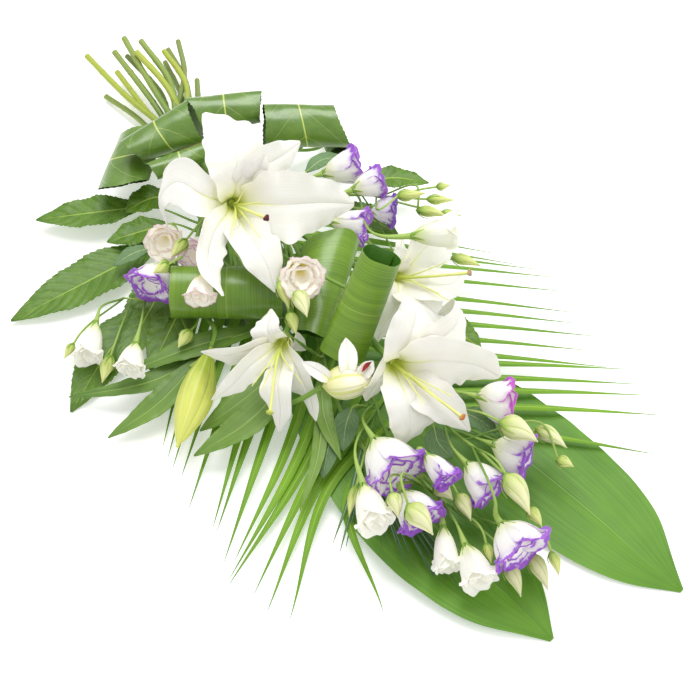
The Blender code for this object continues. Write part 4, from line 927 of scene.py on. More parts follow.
# Base, mouth, width, outer petals, flare of the mouth, and the finish of the petals
BLOOMS = {
    "bloom_front_1": ((374, 439, 65), (400, 478, 63), 54, 5, 1.0, "petal_violet_rim"),
    "bloom_front_2": ((363, 484, 70), (376, 526, 68), 31, 4, 1.0, "petal_white"),
    "bloom_front_3": ((425, 454, 72), (450, 482, 70), 26, 4, 0.9, "petal_violet_rim"),
    "bloom_front_4": ((466, 463, 54), (494, 494, 50), 36, 4, 1.05, "petal_violet_rim"),
    "bloom_front_5": ((492, 444, 52), (530, 459, 48), 40, 4, 1.05, "petal_violet_rim"),
    "bloom_front_6": ((402, 491, 54), (424, 522, 51), 40, 4, 1.0, "petal_violet_rim"),
    "bloom_front_7": ((443, 526, 38), (447, 570, 35), 25, 4, 0.9, "petal_white"),
    "bloom_front_8": ((465, 544, 40), (481, 584, 37), 30, 4, 1.0, "petal_white"),
    "bloom_front_9": ((501, 523, 62), (525, 555, 58), 48, 5, 1.05, "petal_violet_rim"),
    "bloom_front_10": ((476, 396, 64), (510, 404, 58), 42, 4, 1.0, "petal_rose_rim"),
    "bloom_right_1": ((322, 174, 63), (360, 164, 70), 35, 4, 1.1, "petal_violet_rim"),
    "bloom_right_2": ((352, 190, 75), (382, 180, 79), 30, 4, 1.0, "petal_violet_rim"),
    "bloom_right_3": ((330, 221, 76), (368, 228, 74), 32, 5, 1.1, "petal_violet_rim"),
    "bloom_right_4": ((370, 209, 57), (396, 211, 57), 30, 4, 1.0, "petal_dark_rim"),
    "bloom_right_5": ((410, 236, 114), (456, 233, 113), 27, 4, 1.0, "petal_green_white"),
    "bloom_left_1": ((170, 229, 50), (163, 245, 70), 30, 4, 1.1, "petal_cream"),
    "bloom_left_2": ((162, 265, 61), (149, 289, 57), 42, 5, 1.1, "petal_violet_rim"),
    "bloom_left_3": ((203, 240, 57), (192, 258, 69), 30, 4, 1.0, "petal_blush"),
    "bloom_left_4": ((203, 274, 97), (199, 300, 91), 26, 4, 1.05, "petal_cream"),
    "bloom_left_5": ((96, 322, 32), (86, 359, 28), 27, 4, 1.0, "petal_white"),
    "bloom_left_6": ((136, 343, 47), (129, 371, 43), 27, 4, 1.0, "petal_white"),
    "bloom_centre": ((299, 266, 98), (303, 279, 123), 36, 5, 1.0, "petal_cream"),
}

# Layers from the outside in: how many petals against the outer ones, reach and height from root to
# rim, and how much farther off the edge of an inner petal counts, so that its rim is narrower
PETAL_LAYERS = (
    (0, (0.08, 0.31, 0.43, 0.47, 0.54), (0.02, 0.30, 0.62, 0.86, 1.0), 1.0),
    (0, (0.06, 0.24, 0.34, 0.36, 0.42), (0.08, 0.36, 0.66, 0.88, 1.0), 1.8),
    (-1, (0.04, 0.13, 0.20, 0.21, 0.25), (0.14, 0.40, 0.66, 0.84, 0.93), 2.2),
)
PETAL_SHARE = (0.45, 0.95, 1.0, 0.95, 0.78)
PETAL_OVERLAP = 1.4
PETAL_THICK = 0.7


def bloom_petal(grow, centre, half_angle, layer, measures, finish, seed):
    """One ruffled petal of a bloom, turned round the bloom's axis."""
    reach, high, narrowing = layer
    base, axis, zero, quarter, length, width, flare = measures
    u, v = shares(16, 14)
    around = (v + 1) / 2
    spread = half_angle * smooth(PETAL_SHARE, u)
    angle = centre + spread * v
    tall = smooth(high, u)
    far = smooth(reach, u)
    half = spread * far * width
    crimp = wander(around, 1.8, seed) * u**3 * 0.034 + wander(around, 5.5, seed + 3) * u**6 * 0.008
    far = far * (1 + (flare - 1) * tall) + 0.02 * v * u + crimp
    far = far + 0.05 * np.maximum(0, (u - 0.78) / 0.22) ** 2
    tall = tall * (1 + 0.06 * math.sin(seed * 2.3)) - 0.20 * v * v * u**2
    tall = tall + 0.02 * wander(around, 2.0, seed + 7) * u**3
    out = zero * np.cos(angle)[..., None] + quarter * np.sin(angle)[..., None]
    middle = base + axis * (length * tall)[..., None] + out * (width * MM * far)[..., None]
    run = run_of(middle, half, float(half.max()), u, v)
    left = run[-1, 0, 0] - run[..., 0]
    run[..., 2] = narrowing * np.minimum(half * (1 - abs(v)) + left * 0.45, left)
    grow.sheet(middle, run, finish, PETAL_THICK)


def bloom(name, number, base_place, mouth_place, width, count, flare, finish):
    """One bloom, in layers of petals. What its stalk needs to know is given back."""
    base, mouth = spots(base_place, mouth_place)
    axis, length = (mouth - base).normalized(), (mouth - base).length
    zero = axis.orthogonal().normalized()
    measures = (*(np.array(given) for given in (base, axis, zero, axis.cross(zero))), length, width, flare)
    flower = Growth(100 + number)
    for layer, (fewer, *shape) in enumerate(PETAL_LAYERS):
        count = max(2, count + fewer)
        for k in range(count):
            centre = math.tau * (k + 0.25) / count + layer * GOLDEN_ANGLE
            bloom_petal(flower, centre, PETAL_OVERLAP * math.pi / count, shape, measures, finish,
                        number * 40 + layer * 9 + k)
    flower.piece(name + "_petals", name)
    return base, axis, length, width


bloom_places = {name: bloom(name, number, *parts) for number, (name, parts) in enumerate(BLOOMS.items())}
count_faces(f"{len(bloom_places)} blooms")

# %% [markdown]
# Each leaf, bloom and bud hangs on a stalk that has to find its way between the others. In the packed
# model a short search picks the first of a few bends that clears everything already there. The same
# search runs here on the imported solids, and the fine stalk is a smooth curve along the way it finds.

# %% Ways for the stalks
STALK_CLEARANCE = 0.6
SEAT_ZONE = 7
STALK_STRIDE = 2.5
STEM_PLACES = 20
PEDICEL_BENDS = tuple(itertools.product(
    (0, 5, 10, -5, -10, 16, 24, -16, 32, 40), (0, 7, -7, 15, -15, 24, -24), (10, 5, 18)))
seats = []
corner_points, corner_faces = [], []


def solids_so_far(names=()):
    """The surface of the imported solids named, added to those of the calls before, for the search."""
    for name in names:
        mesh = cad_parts[name].data
        first = len(corner_points)
        corner_points.extend(vert.co.copy() for vert in mesh.vertices)
        corner_faces.extend([first + index for index in face.vertices] for face in mesh.polygons)
    return BVHTree.FromPolygons(corner_points, corner_faces)


def blocked(tree, path, radius):
    """How many places along a path lie too near to a solid, apart from the last ones at its seat."""
    count = 0
    reach = (radius + STALK_CLEARANCE) * MM
    for a, b in zip(path, path[1:]):
        steps = max(1, round((b - a).length / (STALK_STRIDE * MM)))
        for step in range(steps + 1):
            point = a.lerp(b, step / steps)
            if (point - path[-1]).length > SEAT_ZONE * MM and tree.find_nearest(point, reach)[0] is not None:
                count += 1
    return count


def way_through(tree, knots_for, tries, radius, steps):
    """The first of a few bends that clears every solid, or else the one that comes nearest to it."""
    best = None
    for bend in tries:
        *knots, end = knots_for(*bend)
        path = [*curve_through(knots, steps), end]
        faults = blocked(tree, path, radius)
        if best is None or faults < best[0]:
            best = (faults, path)
        if faults == 0:
            break
    return best


def leaving(stem, share):
    """The point at which a stalk leaves a stem."""
    return curve_through(stem, STEM_PLACES)[round(share * STEM_PLACES)]


def pedicel(tree, stem, share, base, ahead, radius):
    """A thin stalk from a share of the stem to the base of a bud or a bloom's seat."""
    start = leaving(stem, share)
    reach = (base - start).length

    def knots_for(lift, shift, lead):
        before = base - ahead * min(reach * 0.5, lead * MM)
        aside = (base - start).cross(TO_VIEWER).normalized()
        return [start, before + TO_VIEWER * (lift * MM) + aside * (shift * MM), base]

    return way_through(tree, knots_for, PEDICEL_BENDS, radius, 1)[1]


def seat(foot, ahead, radius):
    """Notes where a stalk of the bunch has to reach, the way the piece leaves it, and the stalk's radius."""
    seats.append((foot, ahead.normalized(), radius))


solids_so_far([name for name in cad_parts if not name.startswith(("spray", "stem"))])
print("the search sees", len(corner_faces), "faces")

# %% [markdown]
# A lisianthus spray is a thin grey-green stem that forks into flower stalks. Its buds are pointed and
# twisted like closed umbrellas, in a calyx of five narrow sepals, and the same sepals hug each bloom.
# Buds are turned forms whose spiral ribs come from the radius; sepals are narrow leaves laid on them.

# %% Sprays of buds
BUD = (0.0, 0.78, 0.98, 0.88, 0.62, 0.31, 0.02)
BIG_BUD = 14
SEPALS = 5
SEPAL_OFF = 0.6
BUD_SEPALS = 0.46
BLOOM_SEPALS = 0.30
STALK_FLARE = (1.2, 1.2, 1.2, 1.4, 3.2)

# Foot and places of the stem, its radius, buds (share of the stem, base, tip, width),
# the blooms that it carries (share of the stem, name), and leaves (share, half width, places)
SPRAYS = {
    "spray_front_left": (
        ((372, 395, 34), (385, 430, 30), (412, 470, 26), (452, 508, 25)),
        2.0,
        (
            (0.1, (357, 484, 40), (349, 517, 36), 10),
            (0.8, (392, 492, 83), (398, 518, 79), 15),
            (0.9, (407, 504, 83), (433, 535, 77), 22),
            (0.35, (434, 484, 47), (453, 500, 45), 16),
            (0.6, (457, 493, 44), (471, 521, 40), 15),
            (1.0, (506, 561, 27), (521, 597, 21), 15),
            (1.0, (530, 553, 28), (548, 590, 24), 16),
            (0.95, (486, 543, 40), (491, 564, 36), 9),
        ),
        ((0.05, "bloom_front_1"), (0.1, "bloom_front_2"), (0.35, "bloom_front_3"), (0.45, "bloom_front_6"),
         (0.7, "bloom_front_7"), (0.85, "bloom_front_8")),
        ((0.1, 12, (352, 408, 42), (346, 425, 42), (343, 451, 36)),
         (0.05, 11, (336, 424, 38), (329, 445, 34), (323, 478, 26))),
    ),
    "spray_front_right": (
        ((430, 402, 40), (452, 430, 48), (484, 455, 62), (503, 473, 70)),
        2.0,
        (
            (0.1, (499, 421, 86), (538, 442, 80), 23),
            (0.2, (535, 427, 50), (567, 448, 46), 16),
            (0.5, (556, 459, 44), (574, 467, 42), 12),
            (0.6, (505, 473, 79), (530, 515, 73), 21),
            (0.9, (528, 507, 58), (542, 527, 54), 12),
            (1.0, (551, 551, 42), (559, 576, 36), 10),
        ),
        ((0.2, "bloom_front_4"), (0.35, "bloom_front_5"), (0.6, "bloom_front_9"), (0.1, "bloom_front_10")),
        ((0.2, 12, (462, 412, 44), (478, 419, 40), (496, 433, 38)),
         (0.1, 13, (434, 428, 46), (438, 442, 44), (452, 458, 40))),
    ),
    "spray_right": (
        ((300, 195, 44), (335, 195, 48), (365, 195, 54), (395, 197, 58)),
        2.0,
        (
            (0.8, (396, 196, 76), (426, 193, 76), 12),
            (0.95, (436, 187, 58), (451, 185, 58), 8),
            (1.0, (426, 199, 56), (455, 200, 54), 10),
            (0.85, (416, 210, 60), (447, 216, 58), 12),
            (0.75, (441, 212, 52), (462, 216, 50), 8),
            (0.65, (451, 257, 46), (481, 266, 44), 12),
        ),
        ((0.1, "bloom_right_1"), (0.3, "bloom_right_2"), (0.1, "bloom_right_3"), (0.5, "bloom_right_4"),
         (0.6, "bloom_right_5")),
        ((0.1, 9, (306, 172, 56), (322, 160, 60), (346, 158, 56)),),
    ),
    "spray_left": (
        ((222, 262, 38), (205, 250, 38), (190, 252, 38), (172, 262, 36)),
        1.8,
        (
            (0.5, (187, 239, 89), (171, 257, 87), 13),
            (1.0, (169, 264, 89), (153, 273, 89), 12),
        ),
        ((0.7, "bloom_left_1"), (0.85, "bloom_left_2"), (0.3, "bloom_left_3"), (0.1, "bloom_left_4")),
        ((1.0, 9, (150, 248, 34), (132, 254, 33), (114, 266, 30)),),
    ),
    "spray_left_low": (
        ((208, 290, 30), (170, 298, 30), (143, 300, 30), (124, 298, 30)),
        1.6,
        (
            (1.0, (74, 343, 18), (64, 359, 14), 9),
            (0.9, (111, 355, 22), (102, 383, 16), 14),
            (0.15, (191, 330, 47), (178, 348, 45), 14),
            (0.4, (182, 371, 22), (171, 387, 18), 9),
        ),
        ((1.0, "bloom_left_5"), (0.75, "bloom_left_6")),
        (),
    ),
    "spray_centre": (
        ((286, 250, 44), (289, 272, 56), (291, 292, 74), (292, 300, 84)),
        1.8,
        (
            (0.8, (279, 281, 100), (289, 309, 100), 13),
            (1.0, (296, 291, 117), (307, 317, 115), 17),
            (1.0, (289, 312, 93), (296, 335, 89), 12),
        ),
        ((0.45, "bloom_centre"),),
        (),
    ),
}


def sepals_of(grow, base, axis, length, radius_at, tall):
    """Five narrow sepals that hug a bud or the foot of a bloom, up to a share of its length."""
    zero = axis.orthogonal().normalized()
    quarter = axis.cross(zero)
    for k in range(SEPALS):
        angle = math.tau * k / SEPALS + 0.4
        out = zero * math.cos(angle) + quarter * math.sin(angle)
        spine = [
            base + axis * (length * share) + out * ((radius_at(share) + SEPAL_OFF) * MM)
            for share in (0, tall * 0.25, tall * 0.6, tall)
        ]
        half_width = 1.0 + radius_at(tall) * 0.08
        grow.sheet(*leaf_grid(spine, out, half_width, SEPAL, 10, 4, cup=(-0.8, -0.3)), "calyx_green", 0.6)


def bud(grow, base, tip, width):
    """A pointed bud whose petals are wound round each other, in its calyx."""
    axis = (tip - base).normalized()
    part = grow.part_number()
    bow = axis.orthogonal() * ((tip - base).length * 0.03)
    along = np.linspace(0, 1, 21)
    path = [point + bow * math.sin(math.pi * share) for point, share in zip(between(base, tip, along), along)]

    def wound(u, angle):
        turn = (angle - math.pi) * BUD_PETALS / 2 + part * BUD_START + BUD_TWIST * u
        return 1 - 0.13 * (1 - abs(np.sin(turn))) ** 2 * np.sin(math.pi * u) ** 0.5

    radii = np.maximum(0.06, smooth(BUD, along)) * width / 2
    grow.tube(path, radii, "bloom_bud" if width > BIG_BUD else "bud_cream", 32, wound, part)
    radius_at = lambda share: float(smooth(BUD, share)) * width / 2
    sepals_of(grow, base, axis, (tip - base).length, radius_at, BUD_SEPALS)


def stem_leaf(grow, stem, share, half_width, places, outline, finish, stalked=True, **shape):
    """A leaf that leaves the stem at a share of its length, by a stalk of its own or from its root."""
    start = leaving(stem, share)
    spine = spots(*places)
    if stalked:
        inside = spine[0] + (spine[1] - spine[0]).normalized() * (6 * MM)
        grow.stem([start, spine[0], inside], 12, (1.4, 0.7), "stalk_green")
    else:
        spine[0] = start
    seed = round(half_width * 7 + places[-1][0])
    grow.sheet(*leaf_grid(spine, UP, half_width, outline, seed=seed, **shape), finish)


def spray(name, number, places, radius, buds, seated, leaves):
    """A stem with its buds, the stalks of the blooms that it carries, and its leaves."""
    tree = solids_so_far()
    stem = spots(*places)
    grow = Growth(300 + number)
    grow.stem(stem, 40, (radius, radius * 0.6), "stalk_green", 10)
    for share, base_place, tip_place, width in buds:
        base, tip = spots(base_place, tip_place)
        ahead = (tip - base).normalized()
        path = pedicel(tree, stem, share, base + ahead * (2 * MM), ahead, 1.1)
        grow.stem(path, 20, (0.9, 1.2), "stalk_green")
        bud(grow, base, tip, width)
    for share, bloom_name in seated:
        base, axis, length, width = bloom_places[bloom_name]
        top = base - axis * (SEAT_GAP * MM)
        path = pedicel(tree, stem, share, top - axis * (5 * MM), axis, 1.3)
        grow.stem([*path, top], 24, STALK_FLARE, "stalk_green", 12)
        _, reach, high, _ = PETAL_LAYERS[0]
        radius_at = lambda share: float(np.interp(share, high, reach)) * width
        sepals_of(grow, base, axis, length, radius_at, BLOOM_SEPALS)
    for share, half_width, *leaf_places in leaves:
        stem_leaf(grow, stem, share, half_width, leaf_places, ROUND_LEAF, "round_green",
                  along=36, across=14, cup=(0.3, 0.1), wave=0.8, waves=2.0, ruffle=0.5)
    grow.piece(name + "_stems", name)
    seat(stem[0], stem[1] - stem[0], radius + 0.3)
    solids_so_far([name])


for number, (name, parts) in enumerate(SPRAYS.items()):
    spray(name, number, *parts)
count_faces(f"{len(SPRAYS)} sprays")

# %% [markdown]
# The green frame of the sheaf: lily leaves with veins side by side, and saw-edged leaves on short stalks
# with branching veins. Each kind differs in outline, fold and edge, so each gets its own numbers and the
# grid does the rest.

# %% Leafy stems
# Foot and places of the stem, its radius, and its leaves (share of the stem, half width, places)
SAW_LEAF_STEMS = {
    "saw_leaves_left": (
        ((204, 212, 30), (196, 240, 25), (190, 268, 21), (186, 292, 18)),
        2.2,
        (
            (0.15, 20, (143, 207, 20), (100, 212, 20), (36, 220, 14)),
            (0.1, 17, (170, 196, 27), (150, 199, 30), (125, 212, 28)),
            (0.25, 17, (168, 224, 25), (140, 232, 26), (107, 242, 22)),
            (0.4, 27, (158, 244, 14), (100, 275, 13), (11, 321, 6)),
            (0.9, 25, (150, 305, 12), (110, 350, 9), (71, 412, 1.5)),
            (0.6, 25, (176, 264, 19), (150, 310, 20), (118, 368, 15)),
            (0.9, 21, (186, 297, 20), (171, 328, 21), (150, 370, 17)),
            (0.2, 22, (212, 226, 27), (236, 254, 26), (262, 300, 25)),
            (1.0, 19, (204, 306, 10), (248, 318, 9), (292, 320, 7)),
        ),
    ),
    "saw_leaves_right": (
        ((300, 215, 30), (345, 226, 32), (395, 272, 34), (420, 308, 35)),
        2.0,
        (
            (0.2, 14, (358, 184, 36), (395, 178, 38), (429, 183, 36)),
            (1.0, 16, (430, 318, 36), (455, 330, 36), (482, 350, 30)),
            (0.35, 15, (334, 206, 29), (360, 214, 28), (398, 234, 27)),
        ),
    ),
}
LILY_STEMS = {
    "lily_leaves_left": (
        ((262, 328, 26), (225, 342, 32), (190, 367, 33)),
        2.6,
        (
            (0.1, 13, (246, 328, 37), (200, 345, 37), (123, 374, 26)),
            (0.5, 11, (214, 348, 31), (150, 382, 25), (69, 397, 13)),
            (0.9, 13, (196, 360, 34), (160, 402, 24), (108, 438, 8)),
        ),
    ),
    "lily_leaves_front": (
        ((285, 345, 34), (282, 365, 38), (284, 385, 38)),
        2.4,
        (
            (0.6, 16, (276, 376, 38), (235, 406, 30), (200, 431, 20)),
            (1.0, 16, (280, 390, 40), (248, 422, 34), (194, 456, 22)),
        ),
    ),
    "lily_leaves_centre": (
        ((324, 346, 40), (320, 365, 42), (323, 385, 42)),
        2.2,
        (
            (0.3, 9, (314, 360, 62), (301, 345, 90), (284, 330, 104)),
            (0.8, 9, (322, 386, 44), (324, 415, 43), (341, 460, 36)),
            (1.0, 7, (320, 392, 46), (317, 460, 34), (300, 511, 22)),
        ),
    ),
}


def leafy_stem(name, number, places, radius, leaves, outline, finish, **shape):
    """A stem with its leaves."""
    stem = spots(*places)
    grow = Growth(400 + number)
    grow.stem(stem, 40, (radius, radius * 0.7), "stalk_green", 12)
    for share, half_width, *leaf_places in leaves:
        stem_leaf(grow, stem, share, half_width, leaf_places, outline, finish, **shape)
    grow.piece(name + "_fine", name)
    seat(stem[0], stem[1] - stem[0], radius)


for number, (name, parts) in enumerate(LILY_STEMS.items()):
    leafy_stem(name, number, *parts, LILY_LEAF, "lily_leaf_green", stalked=False, along=72, across=14,
               fold=0.18, wave=1.2, waves=2.0, ruffle=0.8)
for number, (name, parts) in enumerate(SAW_LEAF_STEMS.items(), 10):
    leafy_stem(name, number, *parts, TOOTHED_LEAF, "saw_green", along=110, across=14,
               fold=0.15, wave=1.6, waves=3.0, ruffle=0.8, teeth=22, tooth=0.08)
count_faces("leafy stems")

# %% [markdown]
# Two long aspidistra leaves carry the point of the sheaf. They lie almost flat, so a spine near the table
# with a groove down the middle and a slow wave of the edge is enough. They are broad, and get more points
# across than the others.

# %% Long flat leaves
# The half width of each leaf and the places of its spine
LONG_LEAVES = (
    (60, (330, 345, 5), (420, 385, 6), (520, 455, 7), (600, 520, 6), (650, 565, 4), (682, 591, 1)),
    (60, (290, 335, 12), (350, 420, 13), (425, 515, 13), (490, 580, 11), (530, 617, 7), (552, 640, 1)),
)


def long_leaf(number, half_width, *places):
    """One broad aspidistra leaf that lies along its places."""
    grow = Growth(430 + number)
    spine = spots(*places)
    grid = leaf_grid(spine, UP, half_width, LONG_LEAF, along=100, across=36, wave=1.4, waves=1.5,
                     ruffle=0.9, groove=0.8, seed=60 + number)
    grow.sheet(*grid, "aspidistra_green")
    grow.piece(f"aspidistra_leaf_{number}_fine", f"aspidistra_leaf_{number}")
    foot, after = curve_through(spine, 12)[:2]
    seat(foot, after - foot, 2.4)


for number, places in enumerate(LONG_LEAVES, 1):
    long_leaf(number, *places)
count_faces("long leaves")

# %% [markdown]
# Florists roll broad leaves and pin them, which gives the loops in the middle and the dark rolls round the
# tie. The leaf's length runs round the roll, so its veins do too: the loops have fine lines round them,
# and the dark rolls one pale midrib. A roll is a spiral of a little over one turn, so that its inner end
# shows in the open mouth.

# %% Rolled leaves
# Two ends, each two places of its rim and a height, then the half depth, and how far each end's near side
# reaches further than its middle
FATSIA_ROLLS = (
    (((97, 190), (152, 180), 47), ((120, 134), (165, 125), 46), 16, 12, -9),
    (((120, 141), (146, 161), 77), ((188, 99), (205, 143), 91), 15, 3, -4),
    (((184, 97), (196, 138), 60), ((262, 90), (260, 124), 64), 13, 0, 0),
    (((146, 163), (159, 180), 87), ((211, 140), (214, 159), 88), 9, 2, -4),
    (((263, 104), (264, 148), 62), ((333, 104), (352, 149), 64), 17, -3, 0),
    (((311, 118), (333, 110), 29), ((327, 158), (349, 150), 29), 11, 0, 0),
)
LOOPS = (
    (((293, 330), (331, 340), 58), ((300, 250), (361, 243), 78), 18, 5, 12),
    (((401, 263), (361, 247), 150), ((364, 362), (318, 345), 76), 17, -5, 3),
    (((172, 265), (171, 321), 60), ((283, 265), (284, 321), 60), 23, 0, 0),
)
ROLL_START = math.radians(180)
ROLL_SWEEP = math.radians(400)
ROLL_CLOSING = 0.15
SAW_TEETH = 26


def rim_of(one, other, height):
    """The middle of a roll's end, seen between two places of its rim, and half the way between them."""
    middle = above_table((one[0] + other[0]) / 2, (one[1] + other[1]) / 2, height)
    return middle, (nearer_than(middle, *one, 0) - nearer_than(middle, *other, 0)) / 2


def rolled_leaf(name, number, end_a, end_b, depth, slant_a, slant_b, finish, slot, coarse, teeth=0.0):
    """One leaf rolled round the line between two ends, each an oval that is seen from place to place."""
    (a, rim_a), (b, rim_b) = rim_of(*end_a), rim_of(*end_b)
    axis = (b - a).normalized()
    zero = square_to(axis, TO_VIEWER)
    quarter = axis.cross(zero)
    rim_a *= math.copysign(1, rim_a.dot(quarter))
    rim_b *= math.copysign(1, rim_b.dot(quarter))
    half = (b - a).length / 2 / MM
    a, b, rim_a, rim_b, zero, axis = (np.array(given) for given in (a, b, rim_a, rim_b, zero, axis))

    def skin(u, s, swell=0.0):
        """Points at shares u round the roll and s from end a to end b."""
        angle = ROLL_START + ROLL_SWEEP * u
        rim = rim_a + (rim_b - rim_a) * s[..., None]
        out = zero * (np.cos(angle) * depth * MM)[..., None] + rim * np.sin(angle)[..., None]
        further = (slant_b * s - slant_a * (1 - s)) * np.cos(angle) * MM
        middle = a + (b - a) * s[..., None] + axis * further[..., None]
        return middle + out * (1 - ROLL_CLOSING * u + swell)[..., None]

    foot, after = (Vector(skin(np.array(share), np.array(0.5))) for share in (0.0, 1 / coarse))
    ahead = (after - foot).normalized()
    seat(foot - ahead * (2 * SEAT_GAP * MM), ahead, 1.8)
    u, v = shares(104, 26)
    saw = np.where(v < 0, (u * SAW_TEETH) % 1, (u * SAW_TEETH + 0.4) % 1)
    wide = (1 - teeth * saw * abs(v) ** 8) * (1 - 0.05 * (2 * u - 1) ** 6)
    wide = wide + 0.8 / half * wander(u, 3, number) * abs(v) ** 4
    swell = 0.5 / depth * wander(u + v * 0.1, 3, number + 9) * np.sin(math.pi * u)
    middle = skin(u, 0.5 - wide * v / 2, swell)
    run = run_of(middle, wide * half, half, u, v)
    run[..., 2] = wide * half * (1 - abs(v))
    grow = Growth(450 + number)
    grow.sheet(middle, run, finish)
    grow.piece(name + "_fine", name)


for number, ends in enumerate(FATSIA_ROLLS, 1):
    rolled_leaf(f"fatsia_roll_{number}", number, *ends, "roll_green", "dark_green", 11, 0.03)
for number, ends in enumerate(LOOPS, 1):
    rolled_leaf(f"aspidistra_loop_{number}", 10 + number, *ends, "loop_green", "mid_green", 12)
count_faces("nine rolled leaves")

# %% [markdown]
# The palm frond is a rib with pairs of long narrow leaflets, each folded along its middle like a paper
# dart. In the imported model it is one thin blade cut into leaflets; here each leaflet is a leaf of its own
# from the same roots and tips. The lily grass is a tuft of thin striped blades.

# %% Palm frond and grass
PALM_RACHIS = ((221, 206, 22), (290, 290, 20), (360, 370, 18), (428, 425, 18))
PALM_LEVEL = 17
PALM_LEAFLET_RIGHT = 3.7
PALM_LEAFLET_LEFT = 5.2
PALM_RIB = 2.4

# Leaflets from the stalk to the tip of the frond: the tip, and the knee where the leaflet isn't straight
PALM_RIGHT = (
    ((492, 253, 4),), ((514, 264, 4),), ((534, 269, 4),), ((552, 277, 4),),
    ((560, 291, 4),), ((570, 312, 4),), ((574, 323, 4),), ((594, 336, 4),),
    ((585, 350, 5),), ((606, 367, 4),), ((625, 369, 5),), ((636, 384, 4),),
    ((645, 395, 5),), ((660, 415, 4),), ((654, 454, 6),),
)
PALM_LEFT = (
    ((163, 446, 3),), ((168, 457, 3),), ((173, 467, 3),), ((182, 475, 3),),
    ((189, 508, 3),), ((213, 527, 3),), ((217, 531, 3),), ((224, 562, 3),),
    ((235, 560, 3), (284, 455, 15)), ((230, 578, 3), (295, 462, 18)), ((229, 585, 3), (303, 468, 15)),
    ((254, 594, 3), (312, 474, 18)), ((267, 612, 3), (322, 478, 15.5)), ((290, 619, 4), (333, 480, 17)),
    ((383, 611, 20), (350, 490, 17)),
)


def palm_frond():
    """The rib and its leaflets."""
    rib = spots(*PALM_RACHIS)
    grow = Growth(480)
    grow.stem(rib, 50, (2.6, 1.3), "stalk_green", 12)
    centre, side, _ = rows_along(rib, UP, 2 * len(PALM_LEFT) - 1)
    sides = ((-1, PALM_LEAFLET_RIGHT, PALM_RIGHT), (1, PALM_LEAFLET_LEFT, PALM_LEFT))
    for way, half_width, leaflets in sides:
        for k, (tip_place, *knee) in enumerate(leaflets):
            near, far = (Vector(centre[i] + side[i] * (PALM_RIB * MM * way)) for i in (2 * k, 2 * k + 1))
            root, tip = (near + far) / 2, above_table(*tip_place)
            middle = above_table(*knee[0]) if knee else root.lerp(tip, 0.5)
            if not knee:
                middle.z = PALM_LEVEL * MM
            grid = leaf_grid([root, middle, tip], UP, half_width, LEAFLET, along=32, across=6, fold=-0.35,
                             wave=0.3, seed=k)
            grow.sheet(*grid, "palm_green", 0.7)
    grow.piece("palm_frond_fine", "palm_frond")
    seat(rib[0], rib[1] - rib[0], 2.6)


GRASS_ROOT = (358, 440, 24)
GRASS_GATHER = (366, 452, 23)
GRASS_LEVEL = 20.5
GRASS_HALF_WIDTH = 2.3
GRASS_TIPS = ((382, 549, 20), (410, 572, 21), (437, 564, 20), (440, 586, 18), (462, 591, 18), (340, 552, 16))
GRASS_NEIGHBOURS = ((0, 0, 0), (-7, -9, 1.5), (6, -5, -1.5))


def lily_grass():
    """The tuft of narrow striped leaves: three thin blades where the solid has one."""
    root, gather = spots(GRASS_ROOT, GRASS_GATHER)
    halfway = root.lerp(gather, 0.5)
    grow = Growth(490)
    grow.tube([root, halfway, gather], (2.2, 2.2, 1.6), "stalk_green", 10)
    for k, (across, down, height) in enumerate(GRASS_TIPS):
        for aside, back, lift in GRASS_NEIGHBOURS:
            tip = above_table(across + aside, down + back, height + lift)
            middle = gather.lerp(tip, 0.5)
            middle.z = (GRASS_LEVEL + lift) * MM
            grid = leaf_grid([halfway, middle, tip], UP, GRASS_HALF_WIDTH, GRASS_BLADE,
                             across=4, fold=0.3, seed=k)
            grow.sheet(*grid, "grass_green", 0.6)
    grow.piece("lily_grass_fine", "lily_grass")
    seat(root, gather - root, 2.0)


palm_frond()
lily_grass()
count_faces("frond and grass")

# %% [markdown]
# Two lilies haven't opened: one is a closed bud, yellow-green with three ribs, and one has just begun to
# turn its tepals out. Both are turned forms, with the ribs in the radius, and the opening one gets three
# free tepals of its own and a red anther that shows in the gap.

# %% Lily buds
# Base and tip, profile, its least value, width, finish, and how the stalk's way leans (up, to the viewer)
CLOSED = (((211, 347, 50), (177, 447, 42)), (0.0, 0.42, 0.72, 0.94, 1.0, 0.92, 0.70, 0.40, 0.0), 0.1, 17,
          "lily_bud_green", 0.0, 0.3)
HALF_OPEN = (((322, 387, 85), (374, 379, 94)), (0.0, 0.70, 0.96, 1.0, 0.90, 0.60, 0.0), 0.05, 16,
             "lily_opening", 0.4, 0.55)
HALF_OPEN_TEPALS = (
    (9, (346, 385, 96), (348, 362, 106), (346, 338, 103)),
    (7, (336, 384, 92), (319, 372, 102), (302, 362, 100)),
    (7, (356, 381, 96), (366, 370, 105), (373, 361, 103)),
)
ANTHER = ((362, 372, 106), (366, 366, 109), (371, 362, 108))


def lily_bud(grow, places, profile, least, radius, finish, up, toward):
    """A bud with three ribs, turned round the line from its base to its tip."""
    base, tip = spots(*places)
    share = np.linspace(0, 1, 61)
    ribs = lambda u, angle: 1 + 0.10 * np.cos(3 * angle) - 0.05 * np.exp(-((np.cos(1.5 * angle) / 0.16) ** 2))
    grow.tube(between(base, tip, share), np.maximum(least, smooth(profile, share)) * radius, finish, 72, ribs)
    seat(base, (tip - base).normalized() + TO_VIEWER * toward + PICTURE_UP * up, 2.4)


closed = Growth(500)
lily_bud(closed, *CLOSED)
closed.piece("lily_bud_fine", "lily_bud")

